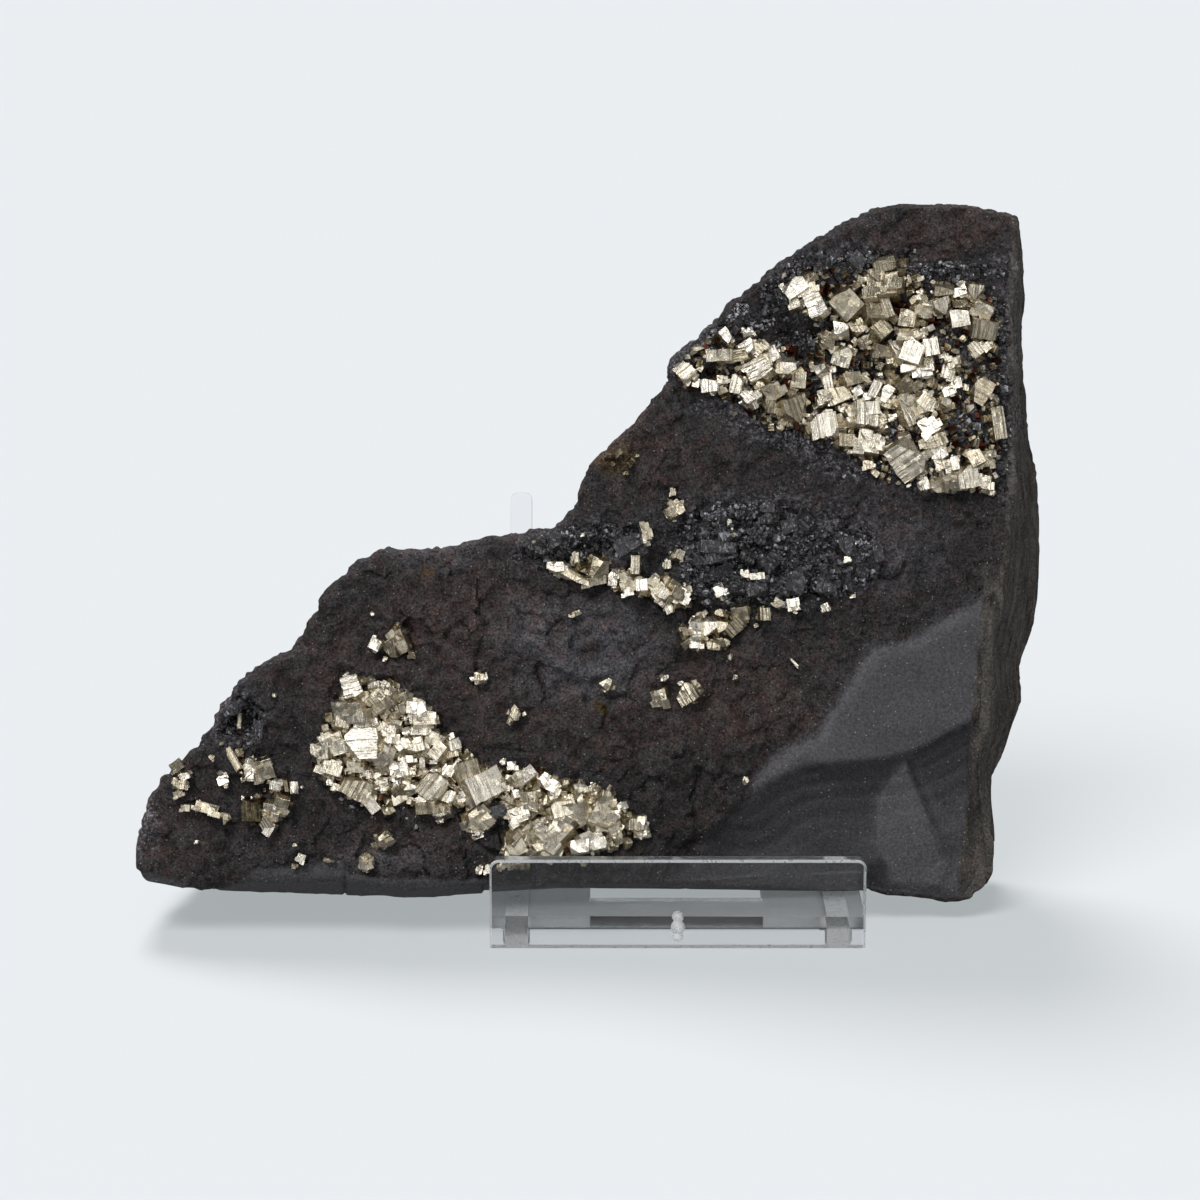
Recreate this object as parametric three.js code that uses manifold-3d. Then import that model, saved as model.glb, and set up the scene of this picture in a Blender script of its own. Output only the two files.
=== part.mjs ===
// A pyrite specimen: a slab of dark rock with groups of pyrite cubes on its front,
// leaning back on a small easel moulded in one piece of clear plastic.
import * as THREE from "three";
import { mergeVertices } from "three/addons/utils/BufferGeometryUtils.js";
import Module from "manifold-3d";

const wasm = await Module();
wasm.setup();

// Driving dimensions, in millimetres and degrees
const LEAN_DEG = 15; // the stone and the prongs lean back this far from upright
const STAND_WIDTH = 60;
const STAND_X = 12.4; // the middle of the stand, right of the drawing's middle
const LIP_HEIGHT = 14.8;
const LIP_THICK = 2.5;
const LIP_CORNER = 1.5;
const SHELF_TOP = 4.8;
const SHELF_THICK = 2.0;
const SHELF_MIDDLE_DEPTH = 11.1;
const SHELF_ARM_DEPTH = 30;
const SHELF_CUT_WIDTH = 28;
const PRONG_WIDTH = 3.6;
const PRONG_THICK = 3.0;
const PRONG_SPREAD = 25.8; // from the stand's middle to a prong's middle
const PRONG_TOP = 74; // up the slope, from the floor line
const PRONG_FOOT = 10.6; // up the slope: here its back corner is inside the runner
const STRUT_TOP = 40;
const STRUT_FOOT_LENGTH = 4;
const STRUT_FOOT_HEIGHT = 0.5;
const STRUT_HEAD = [[1.4, 2], [-0.6, -2]]; // the head's two corners, back and up
const RUNNER_LENGTH = 62;
const RUNNER_HEIGHT = 3.0;
const NUB_WIDTH = 2.5;
const NUB_HEIGHT = 5.3;
const NUB_LENGTH = 2.4;
const NUB_FOOT = 1.4;
const NUB_SIDES = 7;
const NUB_TAPER = [0.62, 0.5]; // radius at the root and at the end, over the width
const JOIN = 1; // how far pieces of the stand run into each other
const STONE_FRONT = -2; // the face of the stone, behind the lip's own front
const STONE_BACK = -34;
const GAP = 0.3; // between pieces that touch
const CRUST = 1.0; // the pyrite that joins the crystals of a group
const CELL = 5.5; // the pitch of the stone's facets
const BLOCK_BACK = -60; // where cutting blocks end, well behind and in front of the stone
const BLOCK_FRONT = 20;
const PRISM_BACK = -16; // a group's prism runs through the face from here
const PRISM_LENGTH = 24;
const LEDGE_DEPTH = 2.4;
const LEDGE_TILT = 10;
const CRYSTAL_FILL = 0.94; // a crystal's size over the size it is listed with
const CRYSTAL_DEPTH = 0.53; // its depth over its width and height added
const CRYSTAL_RISE = 0.28; // how far its middle is off the face, over its depth
const CRYSTAL_TILT = 26;

// The face drawing: points [x, y] in units of 0.16 mm, x to the right and y down, as the
// leaning face looks from straight in front at SIGHT. A point behind the face is spread a
// little, so that it still falls on its place in the drawing.
const UNIT = 0.16;
const SIGHT = 533;
const DRAWING_MIDDLE = 600;
const DRAWING_FLOOR = 948;
const STONE_LEFT = 110; // the part of the drawing that the stone's blocks cover
const STONE_TOP = 175;
const STONE_SPAN = [960, 750];
const MIDDLE_HEIGHT = (DRAWING_FLOOR - DRAWING_MIDDLE) * UNIT;

// The outline of the stone, clockwise, as [x, y, front]: front is how far in millimetres
// the front edge lies inside the outline. Each side has its outline at its own depth.
const TOP_SIDE = {
  depth: -5,
  back: 7,
  points: [
    [136, 862, 0.9], [141, 840, 0.9], [150, 806, 1.0], [166, 777, 1.2], [190, 755, 1.2],
    [209, 731, 1.0], [226, 702, 1.0], [242, 680, 1.0], [270, 664, 1.2], [293, 648, 1.2],
    [312, 620, 1.0], [330, 590, 1.0], [356, 569, 1.3], [381, 550, 1.3], [437, 548, 1.6],
    [482, 540, 1.6], [524, 533, 1.6], [555, 524, 1.4], [574, 508, 1.0], [584, 479, 1.0],
    [600, 458, 1.0], [630, 432, 1.2], [650, 404, 1.0], [669, 381, 0.8], [671, 361, 0.8],
    [692, 344, 1.0], [729, 307, 1.0], [767, 274, 1.2], [793, 253, 1.4], [839, 227, 1.6],
    [869, 212, 1.6], [895, 203, 1.6],
  ],
};
const RIGHT_SIDE = {
  depth: -24,
  back: 1.5,
  points: [
    [951, 208, 2.6], [1010, 221, 3.4], [1017, 256, 4.0], [1021, 302, 4.6], [1018, 330, 4.6],
    [1020, 384, 4.8], [1022, 430, 5.4], [1034, 480, 7.6], [1040, 537, 9.6], [1038, 570, 10.0],
    [1032, 622, 10.0], [1017, 672, 9.4], [1014, 715, 9.2], [1002, 753, 8.0], [992, 780, 6.6],
    [996, 820, 8.0], [998, 843, 8.6],
  ],
};
const BOTTOM_SIDE = {
  depth: -10,
  back: 8.4,
  points: [
    [990, 876, 5.0], [968, 889, 4.2], [930, 891, 3.4], [867, 891, 3.2], [800, 890, 3.2],
    [720, 890, 3.2], [640, 890, 3.2], [560, 890, 3.0], [490, 892, 3.0], [420, 896, 2.8],
    [354, 897, 4.0], [291, 894, 3.6], [232, 890, 2.6], [180, 886, 1.6], [145, 878, 1.2],
  ],
};
const SIDES = [TOP_SIDE, RIGHT_SIDE, BOTTOM_SIDE];
const RING_DEPTHS = [5, 0, -5, -10, -17, -24, -37];
const FLANK_ROUGHNESS = 0.7;
const FLANK_PITCH = [0.7, 0.31]; // of its noise, along the outline and into the depth
const SINGLE_SEED = 40; // where the lone crystals' tilts start

// Waves of the face and the back, as the pitch in drawing units, the height and a shift
const FACE_WAVES = [
  { pitch: 70, height: 1.6, shift: [0, 0] },
  { pitch: 26, height: 0.9, shift: [9, 0] },
];
const BACK_WAVE = { pitch: 60, height: 2.6, shift: [5, 3] };

// The line down the middle of the stone, toward which its flanks slope
const SPINE = [[250, 835], [420, 770], [640, 700], [800, 610], [880, 460], [925, 300]];

// Broad swells and hollows of the face, as [x, y, half width, half height, turn, rise]
const SWELLS = [
  [850, 375, 175, 105, -8, -1.8], // under the upper group
  [470, 790, 170, 80, 18, -1.6], // under the lower group
  [620, 580, 90, 28, 15, -1.2], // the left seam
  [715, 630, 45, 32, 0, -0.8], // the right seam
  [775, 545, 110, 55, 5, -0.9], // the dark glittering hollow
  [560, 500, 60, 30, 40, 0.9],
  [700, 440, 70, 60, 50, 1.4], // the smooth shoulder left of the upper group
  [560, 650, 90, 50, -10, 1.0], [420, 620, 90, 50, -30, 0.8], [300, 720, 60, 60, -40, 0.6],
  [700, 740, 120, 60, -5, 1.3], [900, 560, 80, 50, 20, 1.0], [930, 230, 60, 22, 10, 0.8],
  [240, 725, 26, 26, 0, -2.0], // the black pit near the left tip
  [190, 820, 50, 40, 0, 0.5],
  [800, 345, 28, 30, 0, -1.2], // the dark bay in the upper group
  [580, 820, 40, 16, 0, -0.8], [430, 840, 60, 26, 10, 0.7],
];

// Straight folds: past the line from one point to the next, on its right, the face drops
const FOLDS = [
  { from: [746, 795], to: [1000, 580], slope: 0.1 },
  { from: [746, 795], to: [985, 715], slope: 0.24 },
];

// Blocky steps of dark crystal on the stone, as [x, y, width, height, turn, rise]
const LEDGES = [
  [720, 535, 30, 12, 8, 0.9], [719, 547, 31, 12, 4, 1.2], [722, 560, 26, 12, 2, 0.8],
  [767, 508, 14, 9, 0, 1.0], [767, 518, 13, 10, 0, 0.7], [790, 530, 20, 12, 30, 0.7],
  [806, 520, 14, 14, 55, 1.0], [745, 552, 20, 14, -20, 0.9], [768, 562, 22, 16, 25, 0.9],
  [795, 582, 26, 18, 65, 1.0], [826, 586, 20, 18, -30, 0.8], [848, 548, 16, 20, 25, 1.1],
  [878, 552, 10, 26, 20, 0.9], [757, 590, 22, 20, 10, 0.9], [735, 588, 18, 16, -15, 0.6],
  [700, 562, 16, 14, 0, 0.8], [808, 604, 16, 14, 35, 0.7], [840, 268, 26, 14, -30, 1.2],
  [856, 262, 16, 14, -22, 0.9], [780, 300, 14, 20, 20, 0.7], [1006, 330, 8, 22, 0, 0.7],
  [1005, 380, 8, 26, 5, 0.8], [1000, 460, 8, 22, 10, 0.7], [534, 545, 22, 16, -25, 0.8],
  [555, 540, 20, 16, 30, 0.8], [625, 545, 28, 26, 35, 0.6], [236, 706, 24, 8, 30, 1.0],
  [258, 732, 8, 26, -20, 0.8], [212, 716, 10, 24, -30, 0.8], [498, 810, 18, 18, 30, 0.7],
];

// The pyrite groups: the edge of each group's crust, then its crystals as
// [x, y, width, height, turn]
const GROUPS = {
  pyrite_upper: {
    edge: [
      [676, 377], [690, 347], [718, 332], [755, 330], [782, 346], [812, 356], [824, 340],
      [812, 318], [786, 303], [784, 282], [830, 264], [897, 258], [930, 281], [985, 281],
      [997, 305], [998, 400], [1000, 440], [995, 496], [925, 492], [880, 478], [840, 452],
      [800, 432], [775, 430], [745, 412], [720, 394], [690, 391],
    ],
    crystals: [
      [686, 373, 20, 18, -51], [720, 355, 27, 12, 16], [748, 345, 14, 16, -58],
      [738, 355, 13, 17, -55], [757, 371, 24, 22, -65], [788, 367, 17, 18, 10],
      [750, 398, 16, 17, 40], [771, 393, 22, 18, 15], [791, 409, 24, 24, 40],
      [800, 384, 16, 18, -20], [795, 288, 24, 16, 35], [815, 305, 26, 17, -70],
      [844, 302, 26, 26, 20], [884, 288, 34, 28, 12], [884, 264, 22, 14, 5], [874, 314, 24, 22, 15],
      [841, 329, 15, 18, 5], [858, 328, 15, 15, 30], [881, 332, 17, 17, 28], [843, 356, 19, 20, 10],
      [943, 290, 20, 12, 5], [923, 308, 18, 18, 12], [941, 306, 17, 17, 28], [960, 318, 19, 18, 10],
      [983, 309, 22, 17, -15], [980, 330, 25, 20, 10], [980, 350, 18, 18, 15],
      [908, 322, 19, 18, -5], [905, 337, 24, 14, 10], [914, 354, 22, 22, -20],
      [935, 347, 16, 18, 10], [897, 356, 15, 18, 20], [924, 372, 22, 14, 5], [953, 366, 21, 18, 30],
      [990, 370, 14, 20, 5], [830, 385, 11, 18, 10], [850, 380, 18, 14, 20], [839, 396, 22, 18, 5],
      [867, 394, 18, 15, 30], [886, 394, 18, 12, 55], [823, 426, 26, 26, 10], [862, 418, 26, 22, 3],
      [868, 446, 25, 23, -10], [890, 420, 18, 14, 15], [904, 384, 20, 18, 15],
      [924, 400, 20, 22, -20], [907, 412, 22, 26, 35], [943, 404, 18, 15, 5],
      [930, 428, 21, 18, 30], [933, 444, 22, 14, 10], [905, 458, 30, 34, -75],
      [950, 462, 18, 16, 20], [976, 459, 20, 18, 10], [950, 481, 20, 19, 25],
      [968, 477, 20, 20, 10], [985, 484, 16, 16, -15], [980, 392, 26, 20, 60],
      [996, 424, 10, 30, 3], [970, 420, 22, 20, 15],
    ],
  },
  pyrite_lower: {
    edge: [
      [340, 684], [362, 680], [398, 684], [412, 697], [434, 708], [438, 733], [460, 744],
      [482, 762], [500, 770], [514, 764], [540, 772], [556, 778], [600, 786], [616, 802],
      [644, 816], [646, 838], [604, 851], [560, 853], [508, 866], [502, 848], [510, 816],
      [492, 800], [490, 828], [478, 838], [466, 828], [464, 801], [447, 818], [432, 812],
      [400, 806], [380, 812], [356, 800], [332, 790], [318, 770], [316, 746], [322, 730],
      [332, 706],
    ],
    crystals: [
      [351, 690, 22, 17, -75], [382, 700, 22, 22, 25], [352, 710, 32, 24, 10],
      [400, 702, 18, 28, 8], [414, 711, 22, 26, 12], [424, 721, 23, 16, 5], [331, 743, 30, 27, 15],
      [364, 744, 33, 31, 3], [391, 736, 18, 20, -5], [379, 756, 27, 27, 25],
      [331, 769, 26, 17, -30], [356, 787, 28, 19, -35], [381, 784, 14, 16, 0],
      [369, 802, 13, 24, 38], [402, 762, 20, 16, 5], [421, 732, 20, 12, -5], [416, 746, 20, 16, 35],
      [436, 740, 18, 15, -20], [440, 752, 20, 14, 35], [455, 745, 12, 11, 15],
      [449, 769, 10, 17, -35], [466, 770, 25, 25, 12], [484, 787, 36, 27, 20],
      [434, 786, 24, 28, -15], [429, 803, 22, 13, 20], [450, 796, 11, 14, -25],
      [479, 816, 25, 25, 15], [512, 767, 11, 11, 10], [519, 778, 14, 20, -20],
      [530, 776, 15, 14, 40], [531, 792, 20, 16, 15], [520, 815, 18, 16, 25],
      [517, 840, 26, 20, 15], [549, 786, 20, 16, -30], [579, 788, 15, 12, 0],
      [556, 795, 16, 12, 30], [560, 808, 22, 22, 12], [582, 812, 22, 22, -40],
      [606, 798, 17, 15, -10], [618, 808, 16, 13, 30], [602, 824, 22, 14, 10],
      [634, 822, 19, 16, 5], [590, 842, 28, 18, 10], [555, 832, 26, 24, 35],
      [537, 825, 16, 18, -15],
    ],
  },
  pyrite_seam_left: {
    edge: [
      [549, 563], [568, 563], [589, 568], [597, 557], [609, 568], [628, 568], [636, 556],
      [641, 578], [664, 576], [687, 582], [690, 604], [672, 612], [655, 604], [636, 592],
      [610, 588], [580, 584], [552, 577],
    ],
    crystals: [
      [557, 568, 17, 11, 5], [574, 574, 18, 11, -10], [598, 567, 19, 18, 45], [593, 581, 22, 10, 5],
      [615, 579, 13, 20, -5], [627, 580, 14, 21, 8], [636, 565, 10, 18, -20], [643, 587, 12, 12, 5],
      [655, 584, 14, 18, 20], [672, 592, 20, 20, 10], [683, 598, 14, 15, -25], [669, 609, 9, 9, 25],
    ],
  },
  pyrite_seam_right: {
    edge: [
      [690, 622], [700, 610], [728, 612], [740, 602], [750, 612], [742, 629], [722, 634],
      [728, 650], [706, 652], [682, 648], [679, 630],
    ],
    crystals: [
      [711, 626, 16, 17, 15], [724, 625, 12, 14, 0], [736, 624, 16, 13, 20], [702, 615, 14, 11, 30],
      [696, 630, 14, 20, 0], [697, 645, 13, 11, 5], [685, 633, 11, 11, 15], [716, 644, 18, 12, -15],
      [740, 611, 16, 14, 10],
    ],
  },
  pyrite_left: {
    edge: [
      [226, 746], [232, 745], [244, 756], [258, 753], [272, 758], [276, 777], [290, 779],
      [289, 794], [288, 814], [274, 834], [262, 826], [245, 819], [243, 800], [264, 792],
      [268, 782], [250, 784], [240, 772],
    ],
    crystals: [
      [234, 758, 8, 24, 38], [250, 771, 15, 26, 5], [264, 767, 18, 22, 10], [279, 785, 15, 13, -8],
      [254, 809, 19, 19, 5], [272, 807, 16, 17, 10], [281, 804, 13, 18, -15],
      [268, 820, 12, 14, 20], [271, 829, 9, 14, -32],
    ],
  },
};

// Crystals that stand alone on the stone, as [x, y, width, height, turn]
const SINGLES = [
  [397, 642, 20, 26, 12], [513, 715, 10, 16, -10], [606, 685, 12, 13, 25], [661, 694, 16, 22, 10],
  [689, 693, 18, 18, 35], [675, 509, 16, 18, 15], [223, 780, 11, 13, 20], [208, 808, 25, 10, -5],
  [179, 785, 14, 11, 10], [302, 858, 10, 10, -20], [383, 838, 13, 13, 30], [720, 592, 10, 13, 30],
  [777, 604, 10, 11, 40], [794, 605, 13, 11, 10], [763, 615, 11, 11, 25], [677, 556, 13, 10, -25],
  [646, 531, 9, 15, 5],
];

const MATERIALS = {
  stone: { color: 0x2e2b2b, roughness: 0.85, metalness: 0 },
  pyrite: { color: 0xb3a276, roughness: 0.35, metalness: 0.9 },
  plastic: { color: 0xe6ebec, roughness: 0.1, metalness: 0, transparent: true, opacity: 0.35 },
};

function material(name) {
  return new THREE.MeshStandardMaterial(MATERIALS[name]);
}

// Solids for cutting and joining, and back again
function toSolid(geometry) {
  const bare = new THREE.BufferGeometry();
  bare.setAttribute("position", geometry.getAttribute("position"));
  bare.setIndex(geometry.getIndex());
  const merged = mergeVertices(bare, 1e-4);
  return new wasm.Manifold(
    new wasm.Mesh({
      numProp: 3,
      vertProperties: new Float32Array(merged.getAttribute("position").array),
      triVerts: new Uint32Array(merged.getIndex().array),
    }),
  );
}

function toGeometry(solid) {
  const mesh = solid.getMesh();
  const geometry = new THREE.BufferGeometry();
  geometry.setAttribute("position", new THREE.BufferAttribute(mesh.vertProperties, 3));
  geometry.setIndex(new THREE.BufferAttribute(mesh.triVerts, 1));
  const flat = geometry.toNonIndexed();
  flat.computeVertexNormals();
  return flat;
}

function joined(solids) {
  return solids.reduce((whole, piece) => whole.add(piece));
}

// Even noise from 0 to 1 that is the same every time
function hash(i, j) {
  const wave = Math.sin(i * 127.1 + j * 311.7) * 43758.5453;
  return wave - Math.floor(wave);
}

function noise(x, y) {
  const i = Math.floor(x);
  const j = Math.floor(y);
  const s = THREE.MathUtils.smoothstep(x - i, 0, 1);
  const t = THREE.MathUtils.smoothstep(y - j, 0, 1);
  const lower = THREE.MathUtils.lerp(hash(i, j), hash(i + 1, j), s);
  const upper = THREE.MathUtils.lerp(hash(i, j + 1), hash(i + 1, j + 1), s);
  return THREE.MathUtils.lerp(lower, upper, t);
}

// The place of a drawing point at a depth, in the leaning face's own frame
function onFace(x, y, depth) {
  const spread = (SIGHT - depth) / SIGHT;
  const u = (x - DRAWING_MIDDLE) * UNIT * spread;
  const v = MIDDLE_HEIGHT - (y - DRAWING_MIDDLE) * UNIT * spread;
  return new THREE.Vector3(u, v, depth);
}

// How far a point is inside an ellipse: 1 in its middle, 0 at its rim
function dome(x, y, [cx, cy, halfWidth, halfHeight, turn]) {
  const angle = THREE.MathUtils.degToRad(turn);
  const dx = x - cx;
  const dy = cy - y;
  const across = (dx * Math.cos(angle) + dy * Math.sin(angle)) / halfWidth;
  const along = (dy * Math.cos(angle) - dx * Math.sin(angle)) / halfHeight;
  const reach = Math.hypot(across, along);
  return 1 - THREE.MathUtils.smoothstep(reach, 0, 1);
}

function foldDrop(x, y, { from, to, slope }) {
  const length = Math.hypot(to[0] - from[0], to[1] - from[1]);
  const cross = (to[0] - from[0]) * (y - from[1]) - (to[1] - from[1]) * (x - from[0]);
  return Math.max(0, cross / length) * UNIT * slope;
}

function wave(x, y, { pitch, height, shift }) {
  return height * noise(x / pitch + shift[0], y / pitch + shift[1]);
}

// The depth of the stone's face under a drawing point
function stoneFace(x, y) {
  let depth = STONE_FRONT;
  for (const entry of FACE_WAVES) depth += wave(x, y, entry) - entry.height / 2;
  for (const swell of SWELLS) depth += swell[5] * dome(x, y, swell);
  for (const fold of FOLDS) depth -= foldDrop(x, y, fold);
  return depth;
}

function stoneBack(x, y) {
  return STONE_BACK + wave(x, y, BACK_WAVE);
}

// A closed block between a rough face and a flat end, over the whole drawing
function roughBlock(face, cell, end, lift = 0) {
  const step = cell / UNIT;
  const [columns, rows] = STONE_SPAN.map((span) => Math.ceil(span / step));
  const positions = [];
  const triangles = [];
  for (const layer of [0, 1]) {
    for (let j = 0; j <= rows; j++) {
      for (let i = 0; i <= columns; i++) {
        const x = STONE_LEFT + step * (i + 0.5 * (hash(i, j) - 0.5));
        const y = STONE_TOP + step * (j + 0.5 * (hash(j, i + 50) - 0.5));
        const place = onFace(x, y, 0);
        const depth = layer ? end : face(x, y) + lift;
        positions.push(place.x, place.y, depth);
      }
    }
  }
  const perLayer = (columns + 1) * (rows + 1);
  const at = (i, j, layer) => layer * perLayer + j * (columns + 1) + i;
  const upward = end < STONE_FRONT;
  const quad = (a, b, c, d, turned) => {
    if (turned === upward) triangles.push(a, c, b, a, d, c);
    else triangles.push(a, b, c, a, c, d);
  };
  for (let j = 0; j < rows; j++) {
    for (let i = 0; i < columns; i++) {
      quad(at(i, j, 0), at(i + 1, j, 0), at(i + 1, j + 1, 0), at(i, j + 1, 0), true);
      quad(at(i, j, 1), at(i + 1, j, 1), at(i + 1, j + 1, 1), at(i, j + 1, 1), false);
    }
  }
  for (let i = 0; i < columns; i++) {
    quad(at(i, 0, 0), at(i + 1, 0, 0), at(i + 1, 0, 1), at(i, 0, 1), false);
    quad(at(i, rows, 0), at(i + 1, rows, 0), at(i + 1, rows, 1), at(i, rows, 1), true);
  }
  for (let j = 0; j < rows; j++) {
    quad(at(0, j, 0), at(0, j + 1, 0), at(0, j + 1, 1), at(0, j, 1), true);
    quad(at(columns, j, 0), at(columns, j + 1, 0), at(columns, j + 1, 1), at(columns, j, 1), false);
  }
  const geometry = new THREE.BufferGeometry();
  geometry.setAttribute("position", new THREE.Float32BufferAttribute(positions, 3));
  geometry.setIndex(triangles);
  return toSolid(geometry);
}

// The direction from an outline point to the nearest place on the stone's spine
function towardSpine(x, y) {
  let best = null;
  for (let i = 0; i + 1 < SPINE.length; i++) {
    const a = new THREE.Vector2(...SPINE[i]);
    const b = new THREE.Vector2(...SPINE[i + 1]);
    const point = new THREE.Vector2(x, y);
    const along = b.clone().sub(a);
    const share = point.clone().sub(a).dot(along) / along.lengthSq();
    const foot = a.addScaledVector(along, THREE.MathUtils.clamp(share, 0, 1));
    const way = foot.sub(point);
    if (!best || way.length() < best.length()) best = way;
  }
  return new THREE.Vector2(best.x, -best.y).normalize();
}

// One point of a flank at a depth: on the outline at the side's own depth, and inside it
// in front of and behind that depth
function flankPoint([x, y, front], side, depth, index) {
  const place = onFace(x, y, side.depth);
  const ahead = (depth - side.depth) / -side.depth;
  const behind = (side.depth - depth) / (side.depth - STONE_BACK);
  const inset = ahead > 0 ? front * ahead : side.back * behind;
  const rough = FLANK_ROUGHNESS * noise(index * FLANK_PITCH[0], depth * FLANK_PITCH[1]);
  const way = towardSpine(x, y).multiplyScalar(inset + rough);
  return [place.x + way.x, place.y + way.y];
}

// The stone's flanks as one solid: rings of points from front to back, capped at both ends
function flankSolid() {
  const rings = RING_DEPTHS.map((depth) => {
    const ring = [];
    for (const side of SIDES) {
      for (const point of side.points) ring.push(flankPoint(point, side, depth, ring.length));
    }
    return ring;
  });
  const count = rings[0].length;
  const positions = [];
  rings.forEach((ring, k) => {
    for (const [u, v] of ring) positions.push(u, v, RING_DEPTHS[k]);
  });
  const triangles = [];
  for (let k = 0; k + 1 < rings.length; k++) {
    for (let i = 0; i < count; i++) {
      const a = k * count + i;
      const b = k * count + ((i + 1) % count);
      triangles.push(a, b, b + count, a, b + count, a + count);
    }
  }
  const last = rings.length - 1;
  const caps = [[0, false], [last, true]];
  for (const [k, turned] of caps) {
    const contour = rings[k].map(([u, v]) => new THREE.Vector2(u, v));
    for (const [a, b, c] of THREE.ShapeUtils.triangulateShape(contour, [])) {
      const face = turned ? [a, c, b] : [a, b, c];
      triangles.push(...face.map((corner) => corner + k * count));
    }
  }
  const geometry = new THREE.BufferGeometry();
  geometry.setAttribute("position", new THREE.Float32BufferAttribute(positions, 3));
  geometry.setIndex(triangles);
  return toSolid(geometry);
}

// A block of width, height and depth, turned, and tilted by shares of the most tilt, on
// the face at a drawing point
function blockOnFace(x, y, width, height, depth, turn, tilts, mostTilt, lift) {
  const geometry = new THREE.BoxGeometry(width, height, depth);
  const turned = new THREE.Euler(
    THREE.MathUtils.degToRad(mostTilt * tilts[0]),
    THREE.MathUtils.degToRad(mostTilt * tilts[1]),
    THREE.MathUtils.degToRad(turn),
    "ZXY",
  );
  geometry.applyMatrix4(new THREE.Matrix4().makeRotationFromEuler(turned));
  const place = onFace(x, y, 0);
  geometry.translate(place.x, place.y, stoneFace(x, y) + lift);
  return toSolid(geometry);
}

// A pyrite crystal: a block about as deep as it is wide, more than half out of the stone,
// or the room it takes with a margin all round
function crystal([x, y, width, height, turn], index, margin = 0) {
  const w = CRYSTAL_FILL * width * UNIT;
  const h = CRYSTAL_FILL * height * UNIT;
  const depth = CRYSTAL_DEPTH * (w + h);
  const tilts = [Math.sin(7.1 * index + 1), Math.cos(4.7 * index + x)];
  const size = [w, h, depth].map((length) => length + 2 * margin);
  return blockOnFace(x, y, ...size, turn, tilts, CRYSTAL_TILT, GAP + CRYSTAL_RISE * depth);
}

function ledge([x, y, width, height, turn, rise], index) {
  const tilts = [Math.sin(5.3 * index), Math.cos(3.1 * index)];
  const size = [width * UNIT, height * UNIT, LEDGE_DEPTH];
  return blockOnFace(x, y, ...size, turn, tilts, LEDGE_TILT, rise - LEDGE_DEPTH / 2);
}

// The prism over a closed outline of drawing points, through the stone's face
function prismOver(edge) {
  const corners = edge.map(([x, y]) => onFace(x, y, 0));
  const shape = new THREE.Shape(corners.map((corner) => new THREE.Vector2(corner.x, corner.y)));
  const geometry = new THREE.ExtrudeGeometry(shape, { depth: PRISM_LENGTH, bevelEnabled: false });
  geometry.translate(0, 0, PRISM_BACK);
  return toSolid(geometry);
}

// The stone, its ledges fused with it
const frontBlock = roughBlock(stoneFace, CELL, BLOCK_BACK);
const clearBlock = roughBlock(stoneFace, CELL, BLOCK_BACK, GAP);
const crustBlock = roughBlock(stoneFace, CELL, BLOCK_BACK, GAP + CRUST);
const backBlock = roughBlock(stoneBack, 3 * CELL, BLOCK_FRONT);
const flanks = flankSolid();
const slab = frontBlock.intersect(backBlock).intersect(flanks);
const ledges = joined(LEDGES.map(ledge)).intersect(flanks);

// A group is its crust and its crystals, cut to the stone's face
function groupSolid({ edge, crystals }) {
  const crust = crustBlock.intersect(prismOver(edge));
  const blocks = joined(crystals.map((entry, index) => crystal(entry, index)));
  return crust.add(blocks).subtract(clearBlock);
}

const groupSolids = Object.entries(GROUPS).map(([name, group]) => [name, groupSolid(group)]);
const singleSolids = SINGLES.map((single, index) => [
  "pyrite_single_" + (index + 1),
  crystal(single, index + SINGLE_SEED).subtract(clearBlock),
]);
const pyriteSolids = [...groupSolids, ...singleSolids];

// Ledges keep clear of the pyrite beside them
function clearOfPyrite(solid) {
  let kept = solid;
  for (const { edge, crystals } of Object.values(GROUPS)) {
    const room = crystals.map((entry, index) => crystal(entry, index, GAP));
    kept = kept.subtract(prismOver(edge)).subtract(joined(room));
  }
  const room = SINGLES.map((single, index) => crystal(single, index + SINGLE_SEED, GAP));
  return kept.subtract(joined(room));
}

const stone = slab.add(clearOfPyrite(ledges));

// The stand, in its own upright frame: x across, y back, z up, its lip's front at y = 0
function bar(x0, x1, y0, y1, z0, z1) {
  const geometry = new THREE.BoxGeometry(x1 - x0, y1 - y0, z1 - z0);
  geometry.translate((x0 + x1) / 2, (y0 + y1) / 2, (z0 + z1) / 2);
  return toSolid(geometry);
}

function lip() {
  const half = STAND_WIDTH / 2;
  const shape = new THREE.Shape();
  shape.moveTo(-half, 0);
  shape.lineTo(half, 0);
  shape.lineTo(half, LIP_HEIGHT - LIP_CORNER);
  shape.absarc(half - LIP_CORNER, LIP_HEIGHT - LIP_CORNER, LIP_CORNER, 0, Math.PI / 2, false);
  shape.lineTo(LIP_CORNER - half, LIP_HEIGHT);
  shape.absarc(LIP_CORNER - half, LIP_HEIGHT - LIP_CORNER, LIP_CORNER, Math.PI / 2, Math.PI, false);
  const geometry = new THREE.ExtrudeGeometry(shape, {
    depth: LIP_THICK,
    bevelEnabled: false,
    curveSegments: 4,
  });
  geometry.rotateX(Math.PI / 2);
  geometry.translate(0, LIP_THICK, 0);
  return toSolid(geometry);
}

function nub() {
  const [root, end] = NUB_TAPER.map((share) => share * NUB_WIDTH);
  const length = NUB_LENGTH + JOIN;
  const geometry = new THREE.CylinderGeometry(root, end, length, NUB_SIDES);
  geometry.scale(1, 1, NUB_HEIGHT / NUB_WIDTH);
  geometry.translate(0, JOIN - length / 2, NUB_FOOT + NUB_HEIGHT / 2);
  return toSolid(geometry);
}

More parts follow.
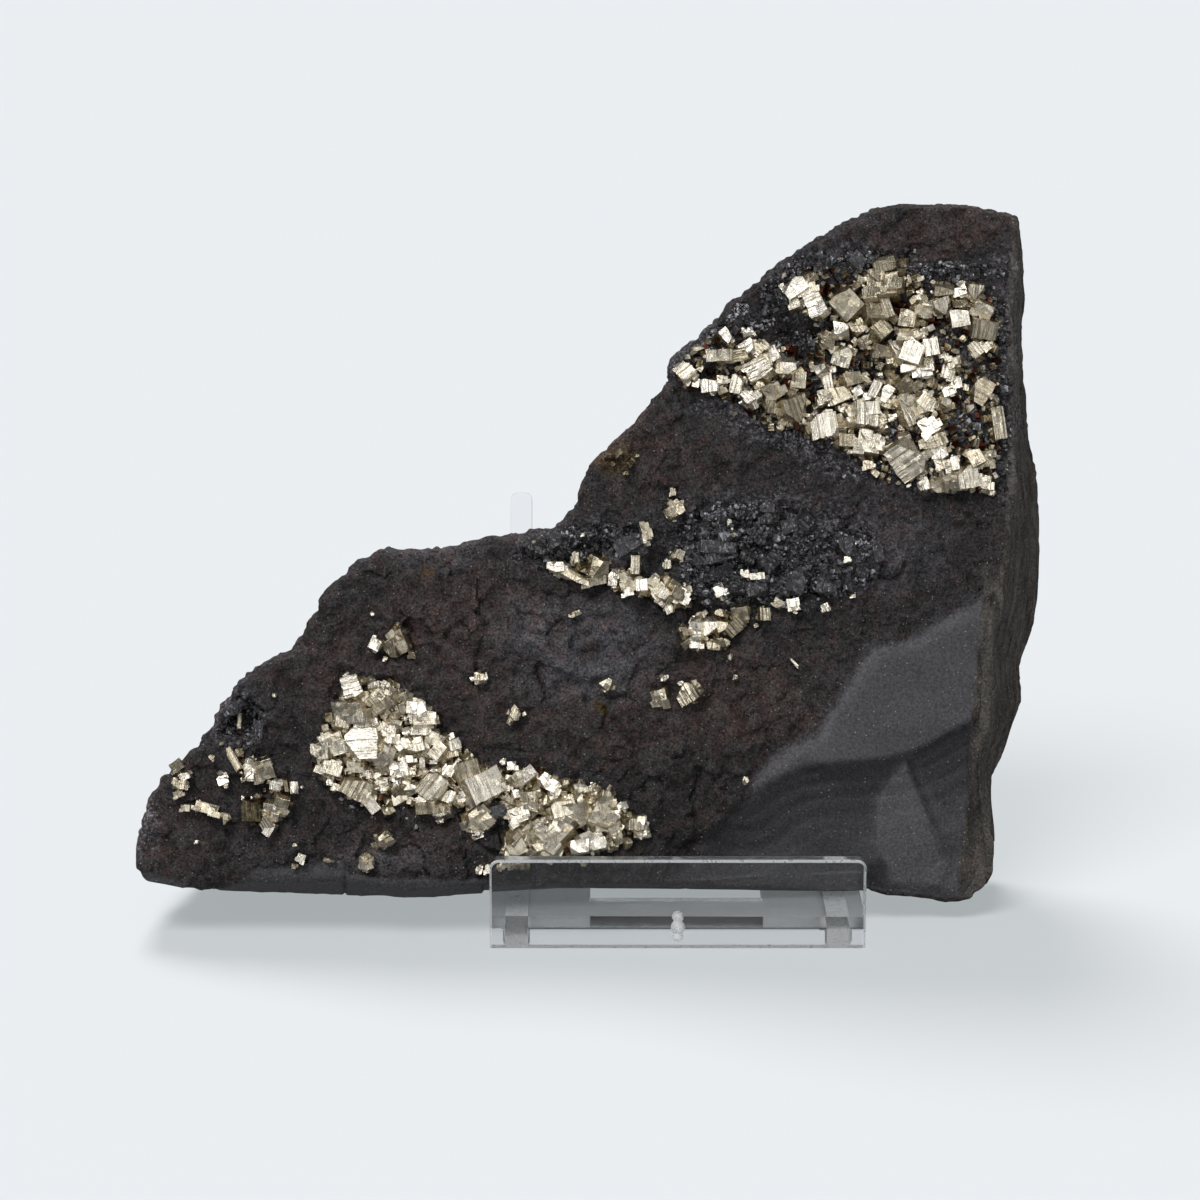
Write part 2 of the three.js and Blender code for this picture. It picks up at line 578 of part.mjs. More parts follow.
// A prong leans back with the stone, just behind it
const lean = THREE.MathUtils.degToRad(LEAN_DEG);
const prongBack = STONE_BACK - GAP - PRONG_THICK;

function upright(v, w) {
  return [v * Math.sin(lean) - w * Math.cos(lean), v * Math.cos(lean) + w * Math.sin(lean)];
}

// A leg of the side frame: a four-sided outline [y, z] given a prong's width
function sideLeg(outline, x) {
  const shape = new THREE.Shape(outline.map(([y, z]) => new THREE.Vector2(y, z)));
  const geometry = new THREE.ExtrudeGeometry(shape, { depth: PRONG_WIDTH, bevelEnabled: false });
  geometry.rotateY(Math.PI / 2);
  geometry.rotateX(Math.PI / 2);
  geometry.translate(x - PRONG_WIDTH / 2, 0, 0);
  return toSolid(geometry);
}

function sideFrame(x) {
  const front = prongBack + PRONG_THICK;
  const prong = sideLeg(
    [
      upright(PRONG_FOOT, front),
      upright(PRONG_FOOT, prongBack),
      upright(PRONG_TOP, prongBack),
      upright(PRONG_TOP, front),
    ],
    x,
  );
  const [headY, headZ] = upright(STRUT_TOP, prongBack + JOIN);
  const strut = sideLeg(
    [
      [RUNNER_LENGTH - STRUT_FOOT_LENGTH, STRUT_FOOT_HEIGHT],
      [RUNNER_LENGTH, STRUT_FOOT_HEIGHT],
      ...STRUT_HEAD.map(([back, up]) => [headY + back, headZ + up]),
    ],
    x,
  );
  const half = PRONG_WIDTH / 2;
  const runner = bar(x - half, x + half, JOIN, RUNNER_LENGTH, 0, RUNNER_HEIGHT);
  return joined([runner, prong, strut]);
}

function shelf() {
  const half = STAND_WIDTH / 2;
  const under = SHELF_TOP - SHELF_THICK;
  const middle = bar(-half, half, JOIN, SHELF_MIDDLE_DEPTH, under, SHELF_TOP);
  const left = bar(-half, -SHELF_CUT_WIDTH / 2, JOIN, SHELF_ARM_DEPTH, under, SHELF_TOP);
  const right = bar(SHELF_CUT_WIDTH / 2, half, JOIN, SHELF_ARM_DEPTH, under, SHELF_TOP);
  return joined([middle, left, right]);
}

const stand = joined([lip(), nub(), shelf(), sideFrame(-PRONG_SPREAD), sideFrame(PRONG_SPREAD)]);

// The scene: the stone and its pyrite lean back together, the stand is upright
function meshOf(name, solid, kind) {
  const mesh = new THREE.Mesh(toGeometry(solid), material(kind));
  mesh.name = name;
  return mesh;
}

const leaning = new THREE.Group();
leaning.rotation.x = Math.PI / 2 - lean;
leaning.add(meshOf("matrix", stone, "stone"));
for (const [name, solid] of pyriteSolids) {
  leaning.add(meshOf(name, solid, "pyrite"));
}

const standMesh = meshOf("stand", stand, "plastic");
standMesh.position.x = STAND_X;

const specimen = new THREE.Group();
specimen.add(leaning, standMesh);

// The origin is under the middle of the whole, on the floor
const bounds = new THREE.Box3().setFromObject(specimen, true);
const middle = bounds.getCenter(new THREE.Vector3());
specimen.position.set(-middle.x, -middle.y, -bounds.min.z);

const part = new THREE.Group();
part.add(specimen);

export default part;
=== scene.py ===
# %% [markdown]
# # A pyrite specimen on a clear easel
# The object is a slab of black rock. Groups of brassy pyrite cubes have grown on its
# front, and it leans on a small easel of clear plastic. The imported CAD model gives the
# size and the place of every piece. This file makes the looks: a broken, grainy stone,
# hundreds of striated crystals, dark glittering crystal between them, and plastic that
# light goes through.

# %% Load the frame
import bpy
import math
import numpy as np
from mathutils import Matrix, Vector
from mathutils.bvhtree import BVHTree


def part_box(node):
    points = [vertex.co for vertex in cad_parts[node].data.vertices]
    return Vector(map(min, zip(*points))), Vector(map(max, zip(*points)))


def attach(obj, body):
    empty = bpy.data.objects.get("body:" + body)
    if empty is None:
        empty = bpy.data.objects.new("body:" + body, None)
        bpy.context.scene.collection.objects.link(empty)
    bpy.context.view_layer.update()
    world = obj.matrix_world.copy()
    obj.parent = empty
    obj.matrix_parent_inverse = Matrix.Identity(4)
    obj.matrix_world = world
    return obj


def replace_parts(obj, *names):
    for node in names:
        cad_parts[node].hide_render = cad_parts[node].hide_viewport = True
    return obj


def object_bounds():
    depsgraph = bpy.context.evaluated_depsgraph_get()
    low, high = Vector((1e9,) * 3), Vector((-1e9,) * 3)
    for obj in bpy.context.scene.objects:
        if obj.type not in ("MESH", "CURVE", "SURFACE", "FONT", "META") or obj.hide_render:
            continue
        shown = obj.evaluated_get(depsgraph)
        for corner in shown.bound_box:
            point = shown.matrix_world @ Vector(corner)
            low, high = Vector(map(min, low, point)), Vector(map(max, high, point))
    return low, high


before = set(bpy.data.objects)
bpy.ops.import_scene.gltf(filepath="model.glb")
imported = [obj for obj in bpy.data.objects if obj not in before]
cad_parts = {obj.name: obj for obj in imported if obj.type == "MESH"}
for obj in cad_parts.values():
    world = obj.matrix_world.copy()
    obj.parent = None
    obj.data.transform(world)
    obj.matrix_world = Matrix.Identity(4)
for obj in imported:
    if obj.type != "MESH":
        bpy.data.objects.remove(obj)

CAD_LOW, CAD_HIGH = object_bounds()
MM = 0.001
print("CAD box in mm:", [round(v / MM, 1) for v in (CAD_HIGH - CAD_LOW)])

# %% [markdown]
# The stone leans back, and the camera looks straight at its face. So it is handy to have
# a second frame on that face: u to the right, v up the slope and w out toward the viewer.
# A point that was read from the photograph, in pixels, becomes a point of this frame. The
# stand tells where the frame sits: its lip's foot is the line v = 0, w = 0.

# %% The frame of the leaning face
LEAN = math.radians(15)
PIXEL = 0.16 * MM
SIGHT = 533 * MM
PHOTO_MIDDLE = 600
PHOTO_FLOOR = 948
PHOTO_STAND = 677.5
NUB_LENGTH = 2.4 * MM
STAND_LOW, STAND_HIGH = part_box("stand")

ACROSS = Vector((1, 0, 0))
UPHILL = Vector((0, math.sin(LEAN), math.cos(LEAN)))
OUTWARD = Vector((0, -math.cos(LEAN), math.sin(LEAN)))
FACE_TURN = Matrix((ACROSS, UPHILL, OUTWARD)).transposed()
STAND_MIDDLE_X = (STAND_LOW.x + STAND_HIGH.x) / 2
LIP_Y = STAND_LOW.y + NUB_LENGTH
FACE_ORIGIN = Vector((STAND_MIDDLE_X - (PHOTO_STAND - PHOTO_MIDDLE) * PIXEL, LIP_Y, 0))
MIDDLE_V = (PHOTO_FLOOR - PHOTO_MIDDLE) * PIXEL


def on_face(x, y, w=0.0):
    """The place, in the object's frame, of a photo pixel at a depth w off the face."""
    spread = (SIGHT - w) / SIGHT
    u = (x - PHOTO_MIDDLE) * PIXEL * spread
    v = MIDDLE_V - (y - PHOTO_MIDDLE) * PIXEL * spread
    return FACE_ORIGIN + ACROSS * u + UPHILL * v + OUTWARD * w


def face_coordinates(points):
    """Photo x, photo y and depth w of many points of the object's frame."""
    local = (points - np.array(FACE_ORIGIN)) @ np.array(FACE_TURN)
    w = local[:, 2]
    spread = (SIGHT - w) / SIGHT
    x = PHOTO_MIDDLE + local[:, 0] / (PIXEL * spread)
    y = PHOTO_MIDDLE - (local[:, 1] - MIDDLE_V) / (PIXEL * spread)
    return x, y, w


print("the face's frame starts at, in mm:", [round(v / MM, 1) for v in FACE_ORIGIN])

# %% [markdown]
# The camera goes first, because everything after it is judged through it. It stands on
# the line that leaves the middle of the face at right angles, with a 100 mm lens on a
# 36 mm sensor, which shows 192 mm of the face from side to side.

# %% Camera
LENS = 100
SENSOR = 36
NEAREST_SEEN = 0.05
FARTHEST_SEEN = 20


def add_camera():
    data = bpy.data.cameras.new("camera")
    data.lens = LENS
    data.sensor_width = SENSOR
    data.clip_start = NEAREST_SEEN
    data.clip_end = FARTHEST_SEEN
    camera = bpy.data.objects.new("camera", data)
    bpy.context.scene.collection.objects.link(camera)
    camera.location = on_face(PHOTO_MIDDLE, PHOTO_MIDDLE) + OUTWARD * SIGHT
    camera.rotation_mode = "QUATERNION"
    camera.rotation_quaternion = OUTWARD.to_track_quat("Z", "Y")
    bpy.context.scene.camera = camera


add_camera()
print("the camera sees", round(SIGHT / MM * SENSOR / LENS), "mm of the face")

# %% [markdown]
# The floor is one pale plane that runs past the edges of the picture. It lies a hair lower
# than the plastic feet, so that light gets under them. Like a light table it glows a
# little, which keeps the shadows pale, and it is hidden from reflections, so that the
# crystals and the plastic don't mirror it. Every finish in this file is made of shader
# nodes, and one helper fills in their inputs: a number is set, a socket is linked.

# %% Floor
FLOOR_SIZE = 12
FLOOR_DROP = 0.05 * MM
FLOOR_COLOUR = (0.25, 0.25, 0.26, 1)
FLOOR_GLOW = (0.377, 0.408, 0.416, 1)


def new_material(name):
    """A material with a Principled shader, its node tree and that shader."""
    material = bpy.data.materials.new(name)
    material.use_nodes = True
    tree = material.node_tree
    return material, tree, tree.nodes["Principled BSDF"]


def feed(tree, node, values):
    """Fills a node's inputs, by name or number, with sockets, numbers or colours."""
    for key, value in values.items():
        if isinstance(value, bpy.types.NodeSocket):
            tree.links.new(value, node.inputs[key])
        else:
            node.inputs[key].default_value = value


def deselect_all():
    if bpy.context.object and bpy.context.object.mode != "OBJECT":
        bpy.ops.object.mode_set(mode="OBJECT")
    bpy.ops.object.select_all(action="DESELECT")


def add_floor():
    deselect_all()
    bpy.ops.mesh.primitive_plane_add(size=FLOOR_SIZE, location=(0, 0, -FLOOR_DROP))
    floor = bpy.context.object
    floor.name = "floor"
    material, tree, shader = new_material("pale_floor")
    feed(tree, shader, {"Base Color": FLOOR_COLOUR, "Roughness": 0.9, "Specular IOR Level": 0.1,
                        "Emission Color": FLOOR_GLOW, "Emission Strength": 1.0})
    floor.data.materials.append(material)
    floor.visible_glossy = False


add_floor()
print("floor:", FLOOR_SIZE, "m wide")

# %% [markdown]
# The lamps are suns, which light every part of the floor alike. A hard metal mirrors its
# lamps, and a rough stone doesn't, so each gets lamps of its own: a small key lamp draws
# the relief of the stone, and wide soft boxes, seen only in reflections, put broad shine
# on the crystals. No sun is seen through the plastic, where its disc would be a white
# block.

# %% Lamps
WORLD_COLOUR = (0.95, 0.975, 1.0, 1)
WORLD_STRENGTH = 0.17
KEY_FROM = Vector((-0.27, -0.43, 0.86)).normalized()
SHINE_FROM = Vector((-0.28, -0.77, 0.58)).normalized()
GLINT_FROM = Vector((-0.1, -0.62, 0.78)).normalized()
RIGHT_FROM = Vector((0.6, -0.5, 0.62)).normalized()
BACK_FROM = Vector((-0.2, 0.62, 1.0)).normalized()


def add_sun(name, toward, strength, disc_degrees, lights=True, mirrored=True):
    """A sun that shines from the direction toward; it may light, be mirrored, or both."""
    data = bpy.data.lights.new(name, "SUN")
    data.energy = strength
    data.angle = math.radians(disc_degrees)
    sun = bpy.data.objects.new(name, data)
    bpy.context.scene.collection.objects.link(sun)
    sun.rotation_mode = "QUATERNION"
    sun.rotation_quaternion = toward.to_track_quat("Z", "Y")
    sun.visible_diffuse = lights
    sun.visible_glossy = mirrored
    sun.visible_transmission = False


def add_world():
    world = bpy.data.worlds.new("studio")
    world.use_nodes = True
    background = world.node_tree.nodes["Background"]
    feed(world.node_tree, background, {"Color": WORLD_COLOUR, "Strength": WORLD_STRENGTH})
    bpy.context.scene.world = world


add_sun("key_lamp", KEY_FROM, 2.5, 28, mirrored=False)
add_sun("back_lamp", BACK_FROM, 3.6, 22, mirrored=False)
add_sun("key_softbox", SHINE_FROM, 1.1, 40, lights=False)
add_sun("front_softbox", OUTWARD, 0.7, 80, lights=False)
add_sun("right_softbox", RIGHT_FROM, 0.3, 46, lights=False)
add_sun("glint_lamp", GLINT_FROM, 0.16, 5, lights=False)
add_world()
bpy.context.scene.view_settings.view_transform = "Standard"
print("lamps:", [lamp.name for lamp in bpy.data.lights])

# %% [markdown]
# Rough nature needs noise. Value noise gives every corner of a grid a fixed random number
# and blends between the corners. Several layers, each finer and weaker, make a surface
# look broken. Numpy works on all points at once, and no draw is left unseeded, so the
# stone comes out the same each time.

# %% Noise
HASH_STEPS = (127.1, 311.7, 74.7)
HASH_SEED_STEP = 17.3
HASH_HEIGHT = 43758.5453


def hashed(i, j, k, seed):
    """A number from 0 to 1 that looks random, always the same for the same cell."""
    angle = i * HASH_STEPS[0] + j * HASH_STEPS[1] + k * HASH_STEPS[2] + seed * HASH_SEED_STEP
    wave = np.sin(angle) * HASH_HEIGHT
    return wave - np.floor(wave)


def value_noise(points, size, seed):
    """Smooth noise from -1 to 1 at points, with lumps of the given size."""
    grid = points / size
    cell = np.floor(grid)
    t = grid - cell
    t = t * t * (3 - 2 * t)
    total = np.zeros(len(points))
    for corner in range(8):
        step = np.array([corner & 1, (corner >> 1) & 1, (corner >> 2) & 1])
        share = np.prod(np.where(step == 1, t, 1 - t), axis=1)
        place = cell + step
        total += share * hashed(place[:, 0], place[:, 1], place[:, 2], seed)
    return 2 * total - 1


def layered_noise(points, size, layers, seed):
    total = np.zeros(len(points))
    for layer in range(layers):
        total += value_noise(points, size / 2**layer, seed + layer) / 2**layer
    return total / (2 - 2 / 2**layers)


trial = layered_noise(np.random.default_rng(0).uniform(0, 1, (1000, 3)), 0.1, 3, 1)
print("noise of 1000 points: from", round(trial.min(), 2), "to", round(trial.max(), 2))

# %% [markdown]
# A mask says how much of something a place has, from 0 to 1. Masks are given in pixels of
# the photograph, as turned ellipses or as closed outlines, with a soft edge in between.

# %% Masks
def smooth_step(low, high, value):
    """0 below low, 1 above high, and an S-shaped slope in between."""
    t = np.clip((value - low) / (high - low), 0, 1)
    return t * t * (3 - 2 * t)


def ellipse_mask(x, y, centre, halves, turn=0.0, edge=0.35):
    """1 inside a turned ellipse of the photo, falling to 0 at its rim."""
    angle = math.radians(turn)
    dx, dy = x - centre[0], centre[1] - y
    across = (dx * math.cos(angle) + dy * math.sin(angle)) / halves[0]
    along = (dy * math.cos(angle) - dx * math.sin(angle)) / halves[1]
    return 1 - smooth_step(1 - edge, 1 + edge, np.hypot(across, along))


def inside_outline(x, y, outline):
    """Which of many photo points are inside a closed outline."""
    inside = np.zeros(np.shape(x), bool)
    for (x0, y0), (x1, y1) in zip(outline, outline[1:] + outline[:1]):
        crosses = (y0 > y) != (y1 > y)
        reach = (x1 - x0) * (y - y0) / (y1 - y0 + 1e-9) + x0
        inside ^= crosses & (x < reach)
    return inside


def distance_to_path(x, y, path):
    """The distance to a path, and which side of it each point is on: 1 is below a path
    that runs to the right."""
    best = np.full(len(x), 1e9)
    side = np.zeros(len(x))
    for (x0, y0), (x1, y1) in zip(path, path[1:]):
        run, drop = x1 - x0, y1 - y0
        share = np.clip(((x - x0) * run + (y - y0) * drop) / (run**2 + drop**2), 0, 1)
        away = np.hypot(x - x0 - share * run, y - y0 - share * drop)
        nearer = away < best
        best = np.where(nearer, away, best)
        side = np.where(nearer, np.sign(run * (y - y0) - drop * (x - x0)), side)
    return best, side


def soft_inside(x, y, outline, blur):
    """1 inside an outline, 0 outside, blended over blur pixels."""
    away, _ = distance_to_path(x, y, outline + outline[:1])
    signed = np.where(inside_outline(x, y, outline), away, -away)
    return smooth_step(-blur, blur, signed)


trial = ellipse_mask(np.array([0, 10, 20]), np.zeros(3), (0, 0), (10, 10))
print("mask in the middle, at the rim and outside:", trial)

# %% [markdown]
# The stone starts as a copy of its CAD solid, so its outline, its lean and its flanks are
# right. A voxel remesh gives it an even skin of small faces, and a smooth modifier takes
# the CAD facets away. Then every point moves along its own normal: grain and lumps where
# the rock is crusty, little where it broke smooth, ledges, pits and curved break lines
# where the photograph has them. At the end the back is thinned, since it needs fewer faces.

# %% Stone: an even skin over the CAD solid
VOXEL = 0.36 * MM
SMOOTHING = 14
SMOOTHING_SHARE = 0.6
SAME_POINT = 0.01 * MM


def make_active(piece):
    """Selects one piece alone and makes it the active one, as Blender's tools expect."""
    deselect_all()
    piece.select_set(True)
    bpy.context.view_layer.objects.active = piece


def edit(piece):
    """Opens a piece in edit mode with everything selected."""
    make_active(piece)
    bpy.ops.object.mode_set(mode="EDIT")
    bpy.ops.mesh.select_all(action="SELECT")


def copy_of_node(name, new_name):
    """A copy of a CAD node's mesh, its corners merged, as a new object at the origin."""
    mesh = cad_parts[name].data.copy()
    mesh.materials.clear()
    piece = bpy.data.objects.new(new_name, mesh)
    bpy.context.scene.collection.objects.link(piece)
    edit(piece)
    bpy.ops.mesh.remove_doubles(threshold=SAME_POINT)
    bpy.ops.object.mode_set(mode="OBJECT")
    return piece


def apply_modifiers(piece):
    make_active(piece)
    for modifier in list(piece.modifiers):
        bpy.ops.object.modifier_apply(modifier=modifier.name)


def points_of(mesh):
    flat = np.empty(len(mesh.vertices) * 3)
    mesh.vertices.foreach_get("co", flat)
    return flat.reshape(-1, 3)


def normals_of(mesh):
    flat = np.empty(len(mesh.vertices) * 3, np.float32)
    mesh.vertices.foreach_get("normal", flat)
    return flat.reshape(-1, 3).astype(float)


def set_points(mesh, points):
    mesh.vertices.foreach_set("co", points.astype(np.float32).ravel())
    mesh.update()


stone = copy_of_node("matrix", "stone")
remesh = stone.modifiers.new("even_skin", "REMESH")
remesh.mode = "VOXEL"
remesh.voxel_size = VOXEL
smooth = stone.modifiers.new("no_facets", "SMOOTH")
smooth.factor = SMOOTHING_SHARE
smooth.iterations = SMOOTHING
apply_modifiers(stone)
print("stone skin:", len(stone.data.vertices), "points")

# %% [markdown]
# Now the shaping. Masks say where each kind of surface is. The lower right broke like
# glass: it stays smooth, with a long curved ridge and a raised facet. The bottom left has
# a smooth bevelled strip. The rest is a crust of grains, broken into flat plates with
# small steps between them, and worn deeper in the dark hollows. At the lower right the
# front bends back into a streaky brown flank, and the corner is drawn to a low point.

# %% Stone: where each kind of surface is
GLASSY_EDGE = [(1000, 585), (917, 634), (873, 647), (853, 670), (833, 703), (815, 733),
               (789, 746), (759, 772), (746, 795), (718, 830), (690, 862), (650, 900),
               (1060, 910), (1060, 585)]
STRIP_EDGE = [(130, 868), (208, 887), (241, 879), (250, 869), (293, 867), (342, 860),
              (348, 873), (390, 879), (430, 879), (490, 880), (560, 884), (560, 960), (130, 960)]
RIDGE = [(746, 795), (760, 784), (778, 773), (797, 765), (820, 761), (845, 759), (870, 758),
         (895, 754), (912, 749), (928, 742), (944, 733), (958, 725), (973, 718)]
CREASE = [(911, 764), (917, 782), (925, 800), (933, 822), (940, 842), (945, 858)]
FACET = [(907, 764), (879, 800), (876, 850), (893, 880), (938, 878), (950, 862), (940, 838),
         (917, 790)]
DARK_HOLLOWS = [
    ((235, 722), (22, 20), 0, 1.8), ((800, 340), (20, 26), -20, 0.9),
    ((718, 368), (14, 9), 0, 0.8), ((775, 293), (9, 9), 0, 0.9),
    ((590, 552), (30, 10), 20, 0.9), ((742, 524), (12, 14), 30, 1.2),
    ((703, 606), (22, 9), 0, 0.8), ((660, 563), (16, 8), 0, 0.8),
    ((578, 826), (14, 9), 35, 1.2), ((534, 818), (8, 8), 0, 0.9),
    ((384, 773), (8, 9), 0, 0.8), ((440, 775), (8, 14), -20, 0.7),
    ((825, 555), (16, 10), 40, 1.0), ((780, 560), (10, 10), 0, 0.9),
    ((690, 660), (16, 8), -30, 0.7), ((405, 640), (20, 14), -40, 0.8),
]
PLATE_ZONES = [
    ((570, 650), (95, 60), -10), ((770, 548), (125, 62), 5), ((560, 545), (66, 26), 10),
    ((240, 730), (44, 40), 0), ((430, 600), (75, 42), -20), ((870, 262), (110, 18), 10),
    ((1003, 380), (12, 110), 0), ((660, 760), (90, 40), -20), ((450, 850), (110, 26), 0),
]
RIGHT_EDGE_X = 900
FLANK_ROWS = [584, 650, 720, 784, 840, 892]
FLANK_COLUMNS = [983, 978, 972, 969, 962, 955]


def stone_masks(points, normals):
    """How much of each kind of surface a point has, with its pixel and its depth."""
    x, y, w = face_coordinates(points)
    facing = normals @ np.array(OUTWARD)
    wobble = 6 * layered_noise(points, 6 * MM, 3, 31)
    front = smooth_step(0.35, 0.75, facing)
    glassy = soft_inside(x + wobble, y + wobble, GLASSY_EDGE, 6) * front
    glassy *= smooth_step(650, 790, x + 0.5 * (y - 795))
    strip = soft_inside(x, y + 0.3 * wobble, STRIP_EDGE, 2.5) * smooth_step(-0.6, 0.2, facing)
    right_flank = smooth_step(0.3, 0.7, normals[:, 0]) * (x > RIGHT_EDGE_X)
    border = np.interp(y, FLANK_ROWS, FLANK_COLUMNS) + 0.3 * wobble
    flank_strip = smooth_step(-1.5, 1.5, x - border) * smooth_step(560, 590, y) * front
    glassy *= 1 - flank_strip
    plates = np.zeros(len(points))
    for centre, halves, turn in PLATE_ZONES:
        plates = np.maximum(plates, ellipse_mask(x + wobble, y - wobble, centre, halves, turn))
    return {"x": x, "y": y, "w": w, "facing": facing, "front": front, "glassy": glassy,
            "strip": strip, "right_flank": right_flank, "plates": plates * front,
            "border": border, "flank_strip": flank_strip}


points = points_of(stone.data)
normals = normals_of(stone.data)
masks = stone_masks(points, normals)
print("glassy:", round(100 * masks["glassy"].mean()), "% of the stone's points")

# %% [markdown]
# Three forms make the relief. Rock that broke along its layers shows flat plates with
# small steps, and a pattern of scattered seeds gives each plate its own height and slope.
# The glassy break has one long crest with faint ripples below it. Everywhere else there
# are lumps, grains and sand, which are noise of three sizes.

# %% Stone: plates, ridge and grain
PLATE_SLOPE = 1.6
RIDGE_CREST = 0.22
RIDGE_FALL = 1.3
RIPPLE = 0.07
LUMP_HEIGHT = 0.5
GRAIN_HEIGHT = 0.3
GRAIN_PIT = 0.34
SAND_HEIGHT = 0.3
FLAKE_HEIGHT = 0.2
LARGE_PITCH = 30
SMALL_PITCH = 17


def plate_heights(x, y, pitch, seed):
    """Flat plates with steps between them: each point takes the height of the nearest of
    many scattered seeds, and a little of its slope."""
    column, row = np.floor(x / pitch), np.floor(y / pitch)
    nearest = np.full(len(x), 1e9)
    height = np.zeros(len(x))
    for across in (-1, 0, 1):
        for down in (-1, 0, 1):
            i, j = column + across, row + down
            seed_x = (i + hashed(i, j, 0, seed)) * pitch
            seed_y = (j + hashed(i, j, 1, seed)) * pitch
            away = np.hypot(x - seed_x, y - seed_y)
            rise = 2 * hashed(i, j, 2, seed) - 1
            slope_x = hashed(i, j, 3, seed) - 0.5
            slope_y = hashed(i, j, 4, seed) - 0.5
            tilt = slope_x * (x - seed_x) + slope_y * (y - seed_y)
            height = np.where(away < nearest, rise + PLATE_SLOPE * tilt / pitch, height)
            nearest = np.minimum(nearest, away)
    return height


def ridge_height(x, y):
    """The glassy break: a crisp crest, steep right below it and flatter further down."""
    away, side = distance_to_path(x, y, RIDGE)
    below = away * (side > 0)
    above = away * (side <= 0)
    fall = RIDGE_FALL * (1 - np.exp(-below / 15)) * (1 - 0.6 * smooth_step(40, 100, below))
    ripples = RIPPLE * np.cos(below / 2.6) * smooth_step(2, 12, below) * (below < 60)
    return RIDGE_CREST * np.exp(-((above / 9) ** 2)) - fall + ripples


def fine_relief(points, masks):
    """The grain in millimetres, and how crusty and how smooth each point is."""
    x, y = masks["x"], masks["y"]
    smooth_part = masks["glassy"] + masks["strip"] + 0.75 * masks["right_flank"]
    smooth_part += 0.8 * masks["flank_strip"]
    smooth_part = np.clip(smooth_part + smooth_step(855, 875, x) * smooth_step(835, 865, y), 0, 1)
    crusty = 1 - smooth_part
    lumps = LUMP_HEIGHT * layered_noise(points, 3.2 * MM, 2, 5)
    noise = value_noise(points, 1.5 * MM, 13)
    grains = GRAIN_HEIGHT * smooth_step(-0.1, 0.5, noise)
    grains -= GRAIN_PIT * smooth_step(0.1, 0.7, -noise)
    sand = SAND_HEIGHT * value_noise(points, 0.8 * MM, 11)
    wobble = 9 * layered_noise(points, 3 * MM, 2, 81)
    flakes = FLAKE_HEIGHT * plate_heights(x + wobble, y - wobble, SMALL_PITCH, 6) * masks["front"]
    return crusty * (lumps + grains + sand + flakes), crusty, smooth_part


below_ridge = ridge_height(np.array([820.0]), np.array([776.0]))
print("ridge, 15 pixels below its crest:", round(below_ridge[0], 2), "mm")

# %% [markdown]
# The forms are added up to one height for each point, each weighed by its mask. The right
# flank gets grooves that run up and down, and the dark hollows are worn in.

# %% Stone: how high each point stands
SWELL_HEIGHT = 0.4
SOFT_SWELL = 0.09
PLATE_HEIGHT = 0.2
PLATE_ZONE_HEIGHT = 0.45
GLASSY_SINK = 0.1
FACET_RISE = 0.4
CREASE_DEPTH = 0.3
CREASE_WIDTH = 4
GROOVE_RUN = (1, 3.0, 0.3)
GROOVE_HEIGHT = 0.8
STRIP_GROOVE_HEIGHT = 0.6
FLANK_RISE = 0.4
CRACK_X = 345
CRACK_WIDTH = 1.3
CRACK_DEPTH = 0.5
SIDE_RISE = 0.45
SIDE_DENT = ((1002, 788), (34, 44), 0, 0.5)
SIDE_DENT_DEPTH = 0.9
FLANK_SLOPE = 0.06
FLANK_SLOPE_UP_TO = 16


def stone_height(points, masks):
    """How far each point moves along its normal, in millimetres."""
    x, y = masks["x"], masks["y"]
    relief, crusty, smooth_part = fine_relief(points, masks)
    height = relief + SWELL_HEIGHT * layered_noise(points, 10 * MM, 2, 1)
    height += SOFT_SWELL * smooth_part * layered_noise(points, 2.5 * MM, 3, 21)
    wobble = 10 * layered_noise(points, 4 * MM, 3, 71)
    plates = plate_heights(x + wobble, y - wobble, LARGE_PITCH, 2)
    plate_share = PLATE_HEIGHT + PLATE_ZONE_HEIGHT * masks["plates"]
    height += plate_share * crusty * masks["front"] * plates
    for centre, halves, turn, depth in DARK_HOLLOWS:
        height -= depth * ellipse_mask(x, y, centre, halves, turn, 0.5) * masks["front"]
    height -= GLASSY_SINK * masks["glassy"]
    height += masks["glassy"] * ridge_height(x, y)
    height += FACET_RISE * masks["glassy"] * soft_inside(x, y, FACET, 2.5)
    crease, _ = distance_to_path(x, y, CREASE)
    height -= CREASE_DEPTH * masks["glassy"] * np.exp(-((crease / CREASE_WIDTH) ** 2))
    grooves = layered_noise(points * np.array(GROOVE_RUN), 2.4 * MM, 3, 51)
    height += masks["right_flank"] * (GROOVE_HEIGHT * grooves + FLANK_RISE)
    height += STRIP_GROOVE_HEIGHT * masks["flank_strip"] * grooves
    crack = np.exp(-(((x - CRACK_X) / CRACK_WIDTH) ** 2)) * masks["strip"]
    height -= CRACK_DEPTH * crack
    side = 1 - smooth_step(0.2, 0.7, np.abs(masks["facing"]))
    height += SIDE_RISE * side
    height -= SIDE_DENT_DEPTH * ellipse_mask(x, y, *SIDE_DENT) * side
    past_border = np.clip(x - masks["border"], 0, FLANK_SLOPE_UP_TO)
    height -= FLANK_SLOPE * past_border * masks["flank_strip"]
    return height, relief


height, relief = stone_height(points, masks)
print("height in mm: from", round(height.min(), 1), "to", round(height.max(), 1))

# %% [markdown]
# Two places need care. The lower right corner of the real stone reaches lower than the
# solid, so it is drawn down and then trimmed to its outline. Where the stone is close to
# the stand it may only be worn in, or the two would grow into each other.

